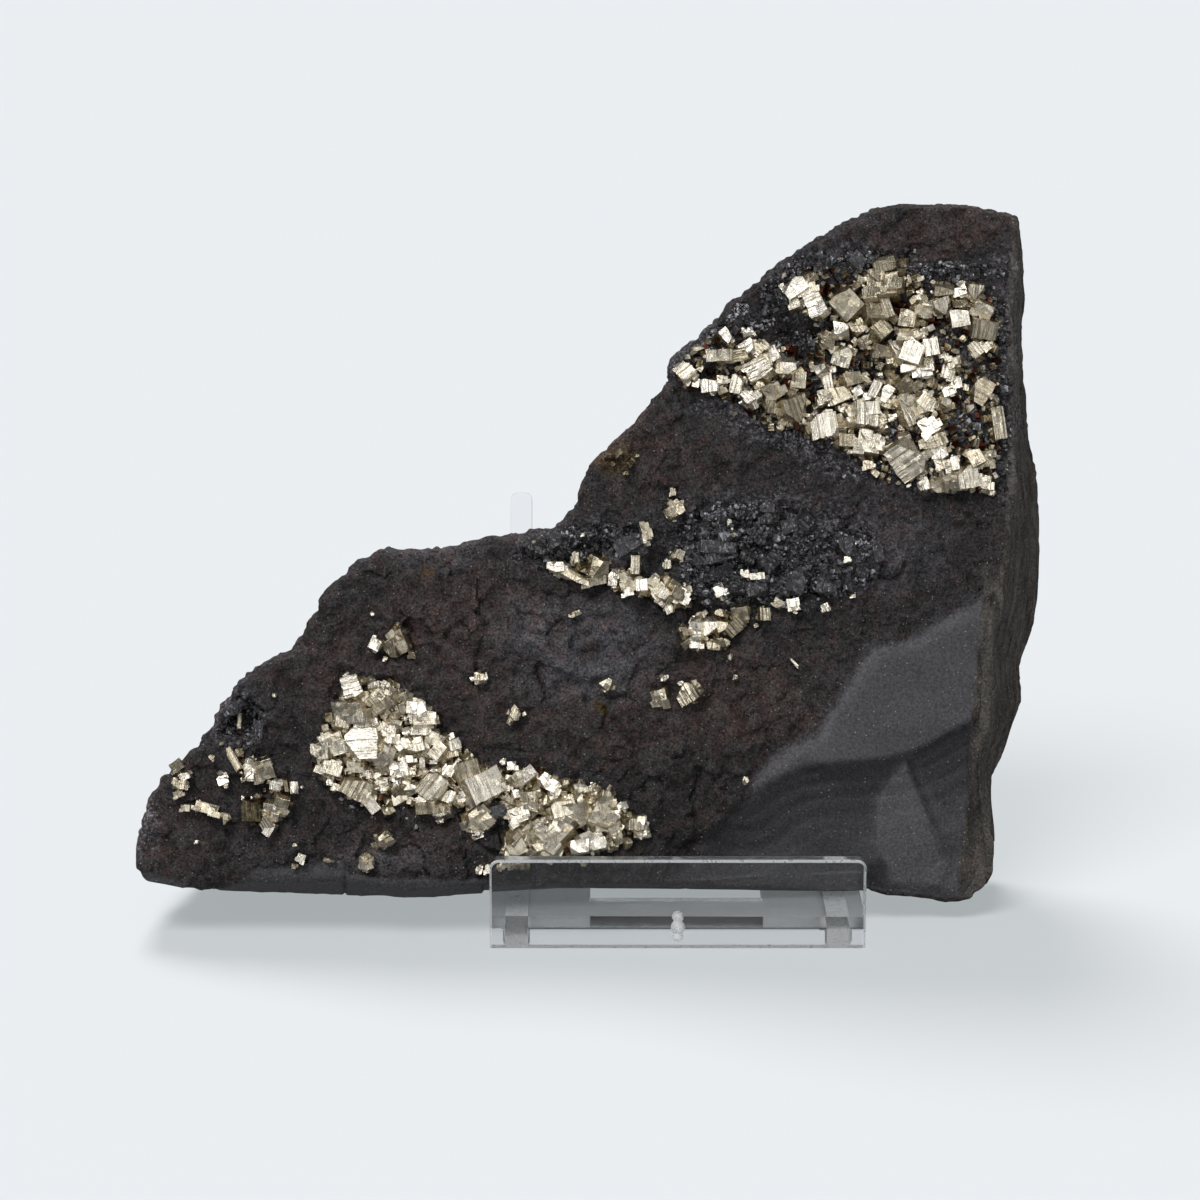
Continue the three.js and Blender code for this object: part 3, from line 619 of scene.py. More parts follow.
# %% Stone: the corner, and room for the stand
TRIM_ROWS = [690, 704, 736, 760, 768, 784, 800, 816, 828, 842, 858, 872, 884, 892, 903, 912]
TRIM_COLUMNS = [1040, 1020, 1008, 1000, 995, 991, 991, 992, 993, 993, 993, 993, 990, 984, 967, 955]
STAND_MARGIN = 1.5 * MM
PRONG_DEPTH = -25 * MM
SHELF_REACH = 9 * MM
WORN_SHARE = 0.5
INSIDE_BOX = 0.02 * MM
CORNER_DOWN = 0.9
CORNER_TIP_DOWN = 1.8
CORNER_OUT = 1.0
CORNER_OUT_ZONE = ((987, 862), (18, 30), 0, 0.7)
CORNER_MIDDLE = -15
CORNER_DEPTH = 9


def corner_shift(masks):
    """How far the lower right corner is drawn down and out, in mm."""
    x, y = masks["x"], masks["y"]
    down = (CORNER_DOWN + CORNER_TIP_DOWN * smooth_step(890, 965, x)) * smooth_step(862, 888, y)
    down *= smooth_step(864, 890, x)
    middle_depth = np.exp(-(((masks["w"] / MM - CORNER_MIDDLE) / CORNER_DEPTH) ** 2))
    out = CORNER_OUT * middle_depth * ellipse_mask(x, y, *CORNER_OUT_ZONE)
    return np.outer(out, np.array(ACROSS)) - np.outer(down, np.array(UPHILL))


def trim_corner(points):
    """Pulls what stands out past the outline of the lower right corner back to it."""
    x, y, _ = face_coordinates(points)
    limit = np.interp(y, TRIM_ROWS, TRIM_COLUMNS) + 1.5 * value_noise(points, 4 * MM, 91)
    past = np.where((y > TRIM_ROWS[0]) & (x > RIGHT_EDGE_X), np.maximum(x - limit, 0), 0)
    return points - np.outer(past * PIXEL, np.array(ACROSS))


def keep_clear_of_stand(points, height):
    """Where the stone is close to the stand, it may only be worn in, never grow out."""
    near = np.ones(len(points), bool)
    for axis in range(3):
        near &= points[:, axis] > STAND_LOW[axis] - STAND_MARGIN
        near &= points[:, axis] < STAND_HIGH[axis] + STAND_MARGIN
    depth = (points - np.array(FACE_ORIGIN)) @ np.array(OUTWARD)
    near &= (depth < PRONG_DEPTH) | (points[:, 2] < SHELF_REACH)
    return np.where(near, np.minimum(height, 0) * WORN_SHARE, height)


moved = points + normals * keep_clear_of_stand(points, height * MM)[:, None]
moved = trim_corner(moved + corner_shift(masks) * MM)
moved = np.maximum(moved, np.array(CAD_LOW) + INSIDE_BOX)
moved = np.minimum(moved, np.array(CAD_HIGH) - INSIDE_BOX)
set_points(stone.data, moved)
print("points moved by up to", round(np.abs(moved - points).max() / MM, 1), "mm")

# %% [markdown]
# The rock is near black. Its colour changes from place to place: rusty brown where it has
# weathered, blue-grey on flat broken patches, even grey where it broke like glass. These
# zones, together with painted shade at the foot and painted shade and light on the glassy
# break, are kept on the points of the stone as a colour attribute. A second attribute
# keeps how high the grain stands, so that the nodes can paint light onto the tops and
# shade into the pits. A third keeps where dust has settled, and a fourth how smooth the
# place is.

# %% Stone: its colours
ROCK = (0.0335, 0.0315, 0.0325)
RUST = (0.051, 0.042, 0.040)
BLUE_GREY = (0.074, 0.073, 0.078)
GLASSY_GREY = (0.068, 0.066, 0.071)
FLANK_GREY = (0.073, 0.066, 0.058)
OCHRE = (0.09, 0.06, 0.02)
COLOUR_ZONES = [
    (RUST, (480, 630), (100, 75), -20, 0.9), (RUST, (730, 700), (90, 50), -10, 0.9),
    (RUST, (600, 720), (120, 40), 0, 0.5), (RUST, (940, 235), (80, 26), 8, 0.8),
    (RUST, (350, 680), (60, 50), -30, 0.6), (RUST, (640, 450), (40, 40), 45, 0.6),
    (RUST, (170, 830), (40, 40), 0, 0.5), (RUST, (690, 470), (50, 30), 10, 0.4),
    (RUST, (420, 835), (60, 25), 0, 0.4), (BLUE_GREY, (575, 650), (80, 52), -10, 0.9),
    (BLUE_GREY, (430, 560), (60, 14), 0, 0.6), (BLUE_GREY, (628, 547), (20, 18), 30, 1.0),
    (BLUE_GREY, (380, 855), (44, 13), 0, 1.0), (BLUE_GREY, (900, 555), (60, 40), 20, 0.4),
    (BLUE_GREY, (498, 810), (10, 10), 20, 0.9), (OCHRE, (600, 709), (5, 10), 25, 0.9),
    (OCHRE, (428, 573), (8, 4), 20, 0.6), (OCHRE, (618, 460), (20, 12), 30, 0.5),
]
DUST_ZONES = [
    ((1003, 380), (9, 120), 0), ((985, 268), (34, 10), 0), ((820, 262), (50, 12), 20),
    ((700, 350), (40, 16), 40), ((800, 445), (110, 16), -22), ((960, 400), (50, 70), 0),
    ((915, 487), (20, 9), 0), ((770, 540), (110, 50), 0), ((570, 545), (60, 22), 15),
    ((240, 722), (30, 34), 0), ((150, 830), (10, 30), 0),
]
STREAKY = [(746, 795), (766, 784), (807, 768), (853, 765), (904, 758), (890, 780), (874, 806),
           (870, 840), (780, 850), (700, 870), (720, 825)]
DARKER_AREA = [(912, 752), (970, 722), (972, 790), (948, 815), (930, 790), (917, 765)]
# Outline of the lower rounding at the foot, which turns down from the light: painted shade.
SHADED_FOOT_OUTLINE = [(858, 868), (880, 860), (890, 866), (886, 880), (904, 887), (935, 878), (962, 882),
             (975, 910), (858, 910)]
STREAKY_SHADE = 0.2
DARKER_SHADE = 0.25
FACET_LIGHT = 0.36
CREASE_SHADE = 0.35
RIM_LIGHT = 0.45
RIDGE_SHADE = 0.4
LINE_LIGHT = 0.16
FOOT_PAINTED_SHADE = 0.45
STRIP_SHARE = 0.55
FLANK_SHARE = 0.85
FLANK_STREAKS = 0.9


def glassy_shade(points, masks, wobble):
    """How light each point of the glassy break is: 1 is its plain grey. Below the ridge, in
    the streaky area and in the crease it is painted shade; on the raised facet, painted light.
    """
    x, y = masks["x"], masks["y"]
    shade = np.ones(len(points))
    shade -= STREAKY_SHADE * soft_inside(x, y, STREAKY, 6)
    shade -= DARKER_SHADE * soft_inside(x, y, DARKER_AREA, 3)
    shade += FACET_LIGHT * soft_inside(x, y, FACET, 2)
    crease, _ = distance_to_path(x, y, CREASE)
    shade -= CREASE_SHADE * np.exp(-((crease / 4.5) ** 2))
    rim, _ = distance_to_path(x + 0.4 * wobble - 5, y + 0.4 * wobble - 5, GLASSY_EDGE[:9])
    shade += RIM_LIGHT * np.exp(-((rim / 6) ** 2))
    below, side = distance_to_path(x, y, RIDGE)
    shade -= RIDGE_SHADE * (side > 0) * smooth_step(0, 2.5, below) * np.exp(-below / 32)
    lines = np.stack([below * PIXEL, 0.06 * x * PIXEL, 0 * x], axis=1)
    return shade + LINE_LIGHT * (side > 0) * value_noise(lines, 0.7 * MM, 57)


def stone_colours(points, masks):
    x, y = masks["x"], masks["y"]
    wobble = 10 * layered_noise(points, 5 * MM, 4, 61)
    colour = np.tile(np.array(ROCK), (len(points), 1))
    for tint, centre, halves, turn, strength in COLOUR_ZONES:
        share = strength * ellipse_mask(x + wobble, y - wobble, centre, halves, turn, 0.5)
        colour += share[:, None] * (np.array(tint) - colour)
    smooth_colour = np.array(GLASSY_GREY)[None, :] * glassy_shade(points, masks, wobble)[:, None]
    colour += masks["glassy"][:, None] * (smooth_colour - colour)
    # Painted shade on the downturned foot.
    colour *= 1 - FOOT_PAINTED_SHADE * soft_inside(x, y, SHADED_FOOT_OUTLINE, 4)[:, None]
    colour += STRIP_SHARE * masks["strip"][:, None] * (np.array(BLUE_GREY) - colour)
    streaks = layered_noise(points * np.array([1.5, 3.0, 0.25]), 1.2 * MM, 2, 52)
    flank_colour = np.array(FLANK_GREY)[None, :] * (1 + FLANK_STREAKS * streaks)[:, None]
    flank = np.maximum(masks["right_flank"], masks["flank_strip"])
    colour += FLANK_SHARE * flank[:, None] * (flank_colour - colour)
    return colour


def dusty_places(points, masks):
    """Where fine pale mineral dust has settled, from 0 to 1."""
    wobble = 10 * layered_noise(points, 5 * MM, 4, 62)
    share = np.zeros(len(points))
    for centre, halves, turn in DUST_ZONES:
        here = ellipse_mask(masks["x"] + wobble, masks["y"] - wobble, centre, halves, turn, 0.5)
        share = np.maximum(share, here)
    return share * (1 - masks["glassy"])


def keep_on_points(mesh, name, values, kind="FLOAT"):
    """Stores one number, or one colour, for each point of a mesh."""
    attribute = mesh.attributes.new(name, kind, "POINT")
    key = "color" if kind == "FLOAT_COLOR" else "value"
    attribute.data.foreach_set(key, values.astype(np.float32).ravel())


colours = stone_colours(points, masks)
keep_on_points(stone.data, "tint", np.hstack([colours, np.ones((len(points), 1))]), "FLOAT_COLOR")
# The grain's height, which the nodes turn into painted light on tops and painted shade in pits.
keep_on_points(stone.data, "relief", np.clip(0.5 + relief, 0, 1))
keep_on_points(stone.data, "dust", dusty_places(points, masks))
calm = masks["glassy"] + 0.8 * masks["strip"]
calm += 0.6 * np.maximum(masks["right_flank"], masks["flank_strip"])
keep_on_points(stone.data, "glassy", np.clip(calm, 0, 1))
print("mean colour of the rock:", colours.mean(axis=0).round(3))

# %% [markdown]
# The back and the flanks keep fewer faces than the front. A vertex group weighs the
# points, and the Decimate modifier collapses most where the weight is high.

# %% Stone: fewer faces where they don't show
THINNING = 2e-5
STONE_FACES = 195000


def thin_where(piece, weights, share):
    group = piece.vertex_groups.new(name="thin")
    levels = np.round(weights, 1)
    for level in np.unique(levels[levels > 0]):
        group.add(np.flatnonzero(levels == level).tolist(), float(level), "REPLACE")
    decimate = piece.modifiers.new("thin", "DECIMATE")
    decimate.ratio = share
    decimate.vertex_group = "thin"
    decimate.vertex_group_factor = THINNING
    apply_modifiers(piece)
    piece.vertex_groups.clear()


faces_now = sum(len(p.vertices) - 2 for p in stone.data.polygons)
flank = 1 - smooth_step(0.2, 0.6, masks["facing"])
back = 1 - smooth_step(-0.8, -0.4, masks["facing"])
thin_where(stone, 0.1 + 0.5 * flank + 0.4 * back, min(1, STONE_FACES / faces_now))
print("stone:", len(stone.data.polygons), "faces, from", faces_now)

# %% [markdown]
# The crystals have to sit on the finished stone. A ray that runs back into the face from
# a photo pixel tells how deep the stone is there.

# %% Finding the stone's surface
stone_tree = BVHTree.FromPolygons(
    [v.co for v in stone.data.vertices], [p.vertices for p in stone.data.polygons])
RAY_START = 20 * MM


def stone_depth(x, y):
    """The depth w of the stone's face behind a photo pixel."""
    start = on_face(x, y, 0) + OUTWARD * RAY_START
    hit = stone_tree.ray_cast(start, -OUTWARD)
    if hit[0] is None:
        return None
    return (hit[0] - FACE_ORIGIN).dot(OUTWARD)


print("the stone at the photo's middle:", round(stone_depth(PHOTO_MIDDLE, PHOTO_MIDDLE) / MM, 1),
      "mm off the face's frame")

# %% [markdown]
# Pyrite grows as cubes, and most of them are broken, worn or grown into each other. Each
# kind of crystal is modelled once, as a pattern, and every crystal of the object is then
# a turned and stretched copy of one of these few. The first tools take a plain cube,
# choose some of its edges, break its corners off with slanted cuts and wear its edges.

# %% Crystal patterns: a plain broken cube
WORN = 0.02
SHARPEST_WORN = math.radians(50)
CUT_REACH = (0.5, 0.68)
CUT_SLANT = 0.75


def add_cube():
    deselect_all()
    bpy.ops.mesh.primitive_cube_add(size=1)
    return bpy.context.object


def select_edges(piece, wanted):
    """Selects, in edit mode, the edges for which wanted(start, end) is true."""
    bpy.ops.object.mode_set(mode="OBJECT")
    mesh = piece.data
    for item in (*mesh.polygons, *mesh.edges, *mesh.vertices):
        item.select = False
    for edge in mesh.edges:
        start, end = (mesh.vertices[i].co for i in edge.vertices)
        if wanted(start, end):
            edge.select = True
    bpy.ops.object.mode_set(mode="EDIT")
    bpy.ops.mesh.select_mode(type="EDGE")


def bevel_piece(piece, width):
    bevel = piece.modifiers.new("worn_edges", "BEVEL")
    bevel.width = width
    bevel.segments = 1
    bevel.limit_method = "ANGLE"
    bevel.angle_limit = SHARPEST_WORN
    apply_modifiers(piece)


def pattern_of(piece):
    """A piece's corner places and faces, as arrays, and the piece is removed."""
    corners = points_of(piece.data)
    corners = corners @ np.array(piece.matrix_world.to_3x3()).T + np.array(piece.location)
    faces = [list(p.vertices) for p in piece.data.polygons]
    bpy.data.objects.remove(piece)
    return corners, faces


def break_corners(piece, rng, cuts):
    """Cuts corners off with slanted planes, and closes each cut with a flat face."""
    edit(piece)
    for _ in range(cuts):
        corner = rng.choice([-1, 1], 3)
        slant = Vector(corner + rng.uniform(-CUT_SLANT, CUT_SLANT, 3)).normalized()
        reach = rng.uniform(*CUT_REACH)
        bpy.ops.mesh.select_all(action="SELECT")
        bpy.ops.mesh.bisect(plane_co=slant * reach, plane_no=slant, use_fill=True,
                            clear_outer=True)
    bpy.ops.object.mode_set(mode="OBJECT")


def broken_cube(seed, cuts, size=1.0, worn=True):
    """A plain cube with some corners broken off, its edges worn or sharp."""
    cube = add_cube()
    break_corners(cube, np.random.default_rng(seed), cuts)
    if worn:
        bevel_piece(cube, WORN)
    corners, faces = pattern_of(cube)
    return corners * size, faces


print("a broken cube has", len(broken_cube(1, 3)[1]), "faces")

# %% [markdown]
# The best known look of pyrite is its grooves: fine parallel lines across a face. Such a
# cube is cut into slices, and each slice is pushed in or out a little. Another habit is
# low growth steps on one face, made by insetting and lifting the top face twice.

# %% Crystal patterns: grooves and growth steps
GROOVE_PUSH = (-1.2, 0.8)
GROOVE_SLIDE = 0.35
GROOVED_WORN = 0.015
GROWTH_STEPS = [(0.05, 0.14), (0.045, 0.16)]


def striated_cube(seed, slices, depth, cuts=1):
    """A cube whose sides are grooved across its first axis, one or two corners broken."""
    cube = add_cube()
    select_edges(cube, lambda a, b: abs(a.x - b.x) > 0.5)
    bpy.ops.mesh.subdivide(number_cuts=slices)
    bpy.ops.object.mode_set(mode="OBJECT")
    corners = points_of(cube.data)
    rng = np.random.default_rng(seed)
    level = np.round((corners[:, 0] + 0.5) * (slices + 1)).astype(int)
    inner = (level > 0) & (level <= slices)
    slide = rng.uniform(-GROOVE_SLIDE, GROOVE_SLIDE, slices + 2) / (slices + 1)
    corners[:, 0] += np.where(inner, slide[level], 0)
    for axis in (1, 2):
        for side in (-1, 1):
            push = 1 + depth * rng.uniform(*GROOVE_PUSH, slices + 2)
            here = corners[:, axis] * side > 0
            corners[here, axis] *= push[level[here]]
    set_points(cube.data, corners)
    break_corners(cube, rng, cuts)
    bevel_piece(cube, GROOVED_WORN)
    return pattern_of(cube)


def terraced_cube(seed):
    """A cube with growth steps on one face, a corner broken."""
    cube = add_cube()
    bevel_piece(cube, WORN)
    rng = np.random.default_rng(seed)
    for push, inset in GROWTH_STEPS:
        bpy.ops.object.mode_set(mode="EDIT")
        bpy.ops.mesh.select_mode(type="FACE")
        bpy.ops.mesh.select_all(action="DESELECT")
        bpy.ops.object.mode_set(mode="OBJECT")
        top = max(cube.data.polygons, key=lambda p: p.center.z)
        top.select = True
        bpy.ops.object.mode_set(mode="EDIT")
        bpy.ops.mesh.inset(thickness=inset * rng.uniform(0.5, 1.5), depth=0)
        bpy.ops.mesh.extrude_region_move(TRANSFORM_OT_translate={"value": (0, 0, push)})
        bpy.ops.object.mode_set(mode="OBJECT")
    break_corners(cube, rng, 1)
    return pattern_of(cube)


print("a cube with growth steps has", len(GROWTH_STEPS), "of them")

# %% [markdown]
# Crystals that grew together are several patterns merged into one: small cubes grown into
# a large one, a pair, or a rough knot of cubes. In the first the cubes keep nearly the
# same direction, and in the other two they are turned at slightly odd angles.

# %% Crystal patterns: cubes grown together
def merged_patterns(parts):
    corners, faces, offset = [], [], 0
    for part_corners, part_faces in parts:
        corners.append(part_corners)
        faces += [[i + offset for i in face] for face in part_faces]
        offset += len(part_corners)
    return np.vstack(corners), faces


def placed(pattern, place, turn):
    corners, faces = pattern
    return corners @ np.array(turn).T + np.array(place), faces


def turned(about_x, about_y, about_z):
    turn = Matrix.Rotation(about_x, 3, "X") @ Matrix.Rotation(about_y, 3, "Y")
    return turn @ Matrix.Rotation(about_z, 3, "Z")


def small_turn(rng, most):
    return turned(*rng.uniform(-most, most, 3))


def stepped_cube(seed, lumps):
    """A cube with smaller cubes grown into it, all nearly parallel."""
    rng = np.random.default_rng(seed)
    parts = [broken_cube(seed, 3, 0.88)]
    for lump in range(lumps):
        place = rng.choice([-1, 1], 3) * rng.uniform(0.1, 0.4, 3)
        place[2] = abs(place[2]) if lump % 3 else place[2]
        cube = broken_cube(seed + lump + 1, 1, rng.uniform(0.25, 0.5))
        parts.append(placed(cube, place, small_turn(rng, 0.1)))
    return merged_patterns(parts)


def knot_of_cubes(seed, count):
    """A rough knot: small broken cubes crowded together at slightly odd angles."""
    rng = np.random.default_rng(seed)
    parts = []
    for lump in range(count):
        place = rng.uniform(-0.29, 0.29, 3) * (1, 1, 0.8)
        cube = broken_cube(seed + lump, 2, rng.uniform(0.3, 0.62))
        parts.append(placed(cube, place, small_turn(rng, 0.35)))
    return merged_patterns(parts)


def twin_cube(seed):
    """A grooved cube with a smaller one grown out of its side."""
    rng = np.random.default_rng(seed)
    large = striated_cube(seed, 6 + seed, 0.05 + 0.01 * seed, 2)
    corners, faces = striated_cube(seed + 5, 5, 0.05, 1)
    small = corners * rng.uniform(0.45, 0.6), faces
    place = rng.choice([-1, 1], 3) * rng.uniform(0.22, 0.42, 3)
    return merged_patterns([large, placed(small, place, small_turn(rng, 0.3))])


print("a knot of five cubes has", len(knot_of_cubes(1, 5)[1]), "faces")

# %% [markdown]
# The set has four kinds, which the letters in the lists below call up. Chips, the small
# broken bits between the crystals, have patterns of their own. The finest grit has no
# worn edges, since there are thousands of it and nobody could see them.

# %% Crystal patterns: the set
PATTERNS = {
    "c": [twin_cube(seed) for seed in range(1, 6)],
    "f": [terraced_cube(11), broken_cube(12, 3), stepped_cube(13, 3), stepped_cube(14, 4),
          stepped_cube(15, 5), striated_cube(16, 5, 0.05, 2)],
    "r": [knot_of_cubes(21, 7), stepped_cube(31, 6), knot_of_cubes(41, 9), stepped_cube(51, 5),
          knot_of_cubes(61, 8), knot_of_cubes(101, 6)],
    "s": [striated_cube(71, 12, 0.05), striated_cube(72, 8, 0.06)],
}
CHIPS = [broken_cube(seed, 3) for seed in range(81, 87)]
GRIT = [broken_cube(seed, 3, worn=False) for seed in range(81, 87)]
for letter, patterns in PATTERNS.items():
    print("pattern", letter, [len(faces) for _, faces in patterns], "faces")

# %% [markdown]
# A heap gathers many turned and stretched copies of the patterns, and becomes one mesh at
# the end. Two attributes go with every corner: tone, how bright the crystal is, and own,
# its place inside its crystal, which the material's fine grooves follow.

# %% Heaps of copies
# A copy's sunk foot gets a lower tone: painted shade where it meets the stone.
FOOT_SHADE = 0.3
MOST_SHIFT = 50


def pick(patterns, rng):
    return patterns[rng.integers(len(patterns))]


def new_heap():
    return {"corners": [], "faces": [], "tone": [], "own": [], "count": 0}


def add_copy(heap, pattern, turn, size, place, tone, rng):
    """Adds a pattern, stretched to size, turned, at a place, to a heap. A random shift
    gives each copy another piece of the grooves."""
    corners, faces = pattern
    shift = rng.uniform(0, MOST_SHIFT, 3)
    own = corners * np.array(size)
    heap["corners"].append(own @ np.array(turn).T + np.array(place))
    heap["own"].append(own / MM + shift)
    sunk = np.clip(-2 * corners[:, 2], 0, 1)
    heap["tone"].append(tone - FOOT_SHADE * sunk)
    heap["faces"] += [[i + heap["count"] for i in face] for face in faces]
    heap["count"] += len(corners)


def piece_from_heap(heap, name, material):
    mesh = bpy.data.meshes.new(name)
    mesh.from_pydata(np.vstack(heap["corners"]).tolist(), [], heap["faces"])
    tone = mesh.attributes.new("tone", "FLOAT", "POINT")
    tone.data.foreach_set("value", np.concatenate(heap["tone"]).astype(np.float32))
    own = mesh.attributes.new("own", "FLOAT_VECTOR", "POINT")
    own.data.foreach_set("vector", np.vstack(heap["own"]).astype(np.float32).ravel())
    mesh.materials.append(material)
    piece = bpy.data.objects.new(name, mesh)
    bpy.context.scene.collection.objects.link(piece)
    return piece


trial = new_heap()
add_copy(trial, GRIT[0], Matrix.Identity(3), (MM, MM, MM), (0, 0, 0), 1, np.random.default_rng(0))
print("a heap with one grain of grit:", trial["count"], "corners")

# %% [markdown]
# Every finish is a small network of nodes. A few helpers keep the networks short: each
# makes one node, fills its inputs and hands on the socket that matters. Noise gives
# mottling and grain, a range stretches it, a ramp turns a level into a colour, and bump
# turns a height into a slanted surface without adding a face.

# %% Helpers for the finishes
def add_node(tree, kind, **values):
    node = tree.nodes.new(kind)
    for name, value in values.items():
        setattr(node, name, value)
    return node


def point_value(tree, name, output="Fac"):
    """What is kept on the points under a name: a number, a Color or a Vector."""
    return add_node(tree, "ShaderNodeAttribute", attribute_name=name).outputs[output]


def noise_node(tree, vector, scale, detail, roughness=0.5):
    node = add_node(tree, "ShaderNodeTexNoise")
    feed(tree, node, {"Vector": vector, "Scale": scale, "Detail": detail, "Roughness": roughness})
    return node.outputs["Fac"]


def math_node(tree, operation, first, second):
    node = add_node(tree, "ShaderNodeMath", operation=operation)
    feed(tree, node, {0: first, 1: second})
    return node.outputs[0]


def vector_node(tree, operation, first, second, output=0):
    node = add_node(tree, "ShaderNodeVectorMath", operation=operation)
    feed(tree, node, {0: first, 1: second})
    return node.outputs[output]


def range_node(tree, value, old, new):
    """Stretches a value from the old range to the new one."""
    node = add_node(tree, "ShaderNodeMapRange")
    feed(tree, node, {"Value": value, "From Min": old[0], "From Max": old[1],
                      "To Min": new[0], "To Max": new[1]})
    return node.outputs[0]


def ramp_node(tree, level, stops):
    """Turns a level into a colour; each stop is a level and its colour."""
    node = add_node(tree, "ShaderNodeValToRGB")
    ramp = node.color_ramp
    while len(ramp.elements) < len(stops):
        ramp.elements.new(0.5)
    for element, (place, colour) in zip(ramp.elements, stops):
        element.position = place
        element.color = (*colour, 1)
    feed(tree, node, {"Fac": level})
    return node.outputs["Color"]


def mix_colours(tree, share, first, second, blend="MIX"):
    node = add_node(tree, "ShaderNodeMix", data_type="RGBA", blend_type=blend)
    feed(tree, node, {0: share, 6: first, 7: second})
    return node.outputs[2]


def bump_node(tree, height, strength, distance, normal=None):
    node = add_node(tree, "ShaderNodeBump")
    feed(tree, node, {"Height": height, "Strength": strength, "Distance": distance})
    if normal is not None:
        feed(tree, node, {"Normal": normal})
    return node.outputs[0]


def facets_node(tree, vector, scale):
    """Small facets: within each cell of a pattern the height slopes its own way."""
    cells = add_node(tree, "ShaderNodeTexVoronoi", distance="CHEBYCHEV")
    feed(tree, cells, {"Vector": vector, "Scale": scale})
    lean = vector_node(tree, "SUBTRACT", cells.outputs["Color"], (0.5, 0.5, 0.5))
    away = vector_node(tree, "SUBTRACT", vector, cells.outputs["Position"])
    return vector_node(tree, "DOT_PRODUCT", lean, away, "Value")


print("materials so far:", [material.name for material in bpy.data.materials])

# %% [markdown]
# Fresh pyrite is a pale brassy metal. A face that mirrors the lamp is almost white, one
# that mirrors the dark side of the room is olive brown. The base colour runs through a
# ramp by the crystal's tone, which paints the light or shade that each crystal shows into
# its colour: darker tones are painted shade, the lowest rusty red as well, and the
# lightest painted light. Grooves that follow the crystal's own axis give the silky lines
# of striated faces.

# %% Pyrite material
# Tone to colour: darker tones are painted shade, the lightest painted light.
PYRITE_LIT_AND_SHADED_TONES = [
    (0.0, (0.07, 0.02, 0.012)),
    (0.08, (0.06, 0.05, 0.03)),
    (0.22, (0.26, 0.215, 0.13)),
    (0.5, (0.56, 0.495, 0.37)),
    (0.75, (0.73, 0.67, 0.55)),
    (1.0, (0.88, 0.83, 0.74)),
]
GROOVE_STRETCH = (2.3, 0.22, 0.22)


def pyrite_relief(tree, own, pits, lines):
    """Fine pits, then facets or grooves: each crystal has more of the one or the other."""
    whole = noise_node(tree, own, 0.13, 0)
    grooved = range_node(tree, whole, (0.42, 0.55), (0.15, 1.0))
    facetted = range_node(tree, whole, (0.45, 0.56), (0.9, 0.2))
    fine = bump_node(tree, pits, 0.6, 0.1 * MM)
    broken = bump_node(tree, facets_node(tree, own, 1.1), facetted, 0.42 * MM, fine)
    return bump_node(tree, lines, grooved, 0.3 * MM, broken)


def pyrite_material():
    material, tree, shader = new_material("pyrite_metal")
    own = point_value(tree, "own", "Vector")
    patches = noise_node(tree, own, 1.3, 4, 0.7)
    drift = range_node(tree, patches, (0.3, 0.7), (-0.14, 0.14))
    along = vector_node(tree, "MULTIPLY", own, GROOVE_STRETCH)
    lines = noise_node(tree, along, 1.0, 3, 0.6)
    stripes = range_node(tree, lines, (0.35, 0.65), (-0.11, 0.10))
    drifted = math_node(tree, "ADD", point_value(tree, "tone"), drift)
    level = math_node(tree, "ADD", drifted, stripes)
    pits = noise_node(tree, own, 4.0, 4, 0.65)
    rough = range_node(tree, pits, (0.3, 0.7), (0.2, 0.42))
    feed(tree, shader, {"Base Color": ramp_node(tree, level, PYRITE_LIT_AND_SHADED_TONES), "Metallic": 1.0,
                        "Roughness": rough, "Normal": pyrite_relief(tree, own, pits, lines)})
    return material


PYRITE = pyrite_material()
print("pyrite:", len(PYRITE.node_tree.nodes), "nodes")

# %% [markdown]
# Where each crystal sits, how big it looks and how it is turned was read from the
# photograph: the place of its middle, its width and height, its turn in degrees,
# its tone from 2 (dark) to 9 (almost white), and its kind: c grooved cube, f flat plain
# cube, s slab, r rough lump. The first list is the large bright group at the upper right.

# %% The crystals of the upper group
def entries_of(text):
    """The numbers and the kind of each crystal in a list."""
    rows = []
    for word in text.split():
        *numbers, kind = word.split(",")
        rows.append((*map(float, numbers), kind))
    return rows


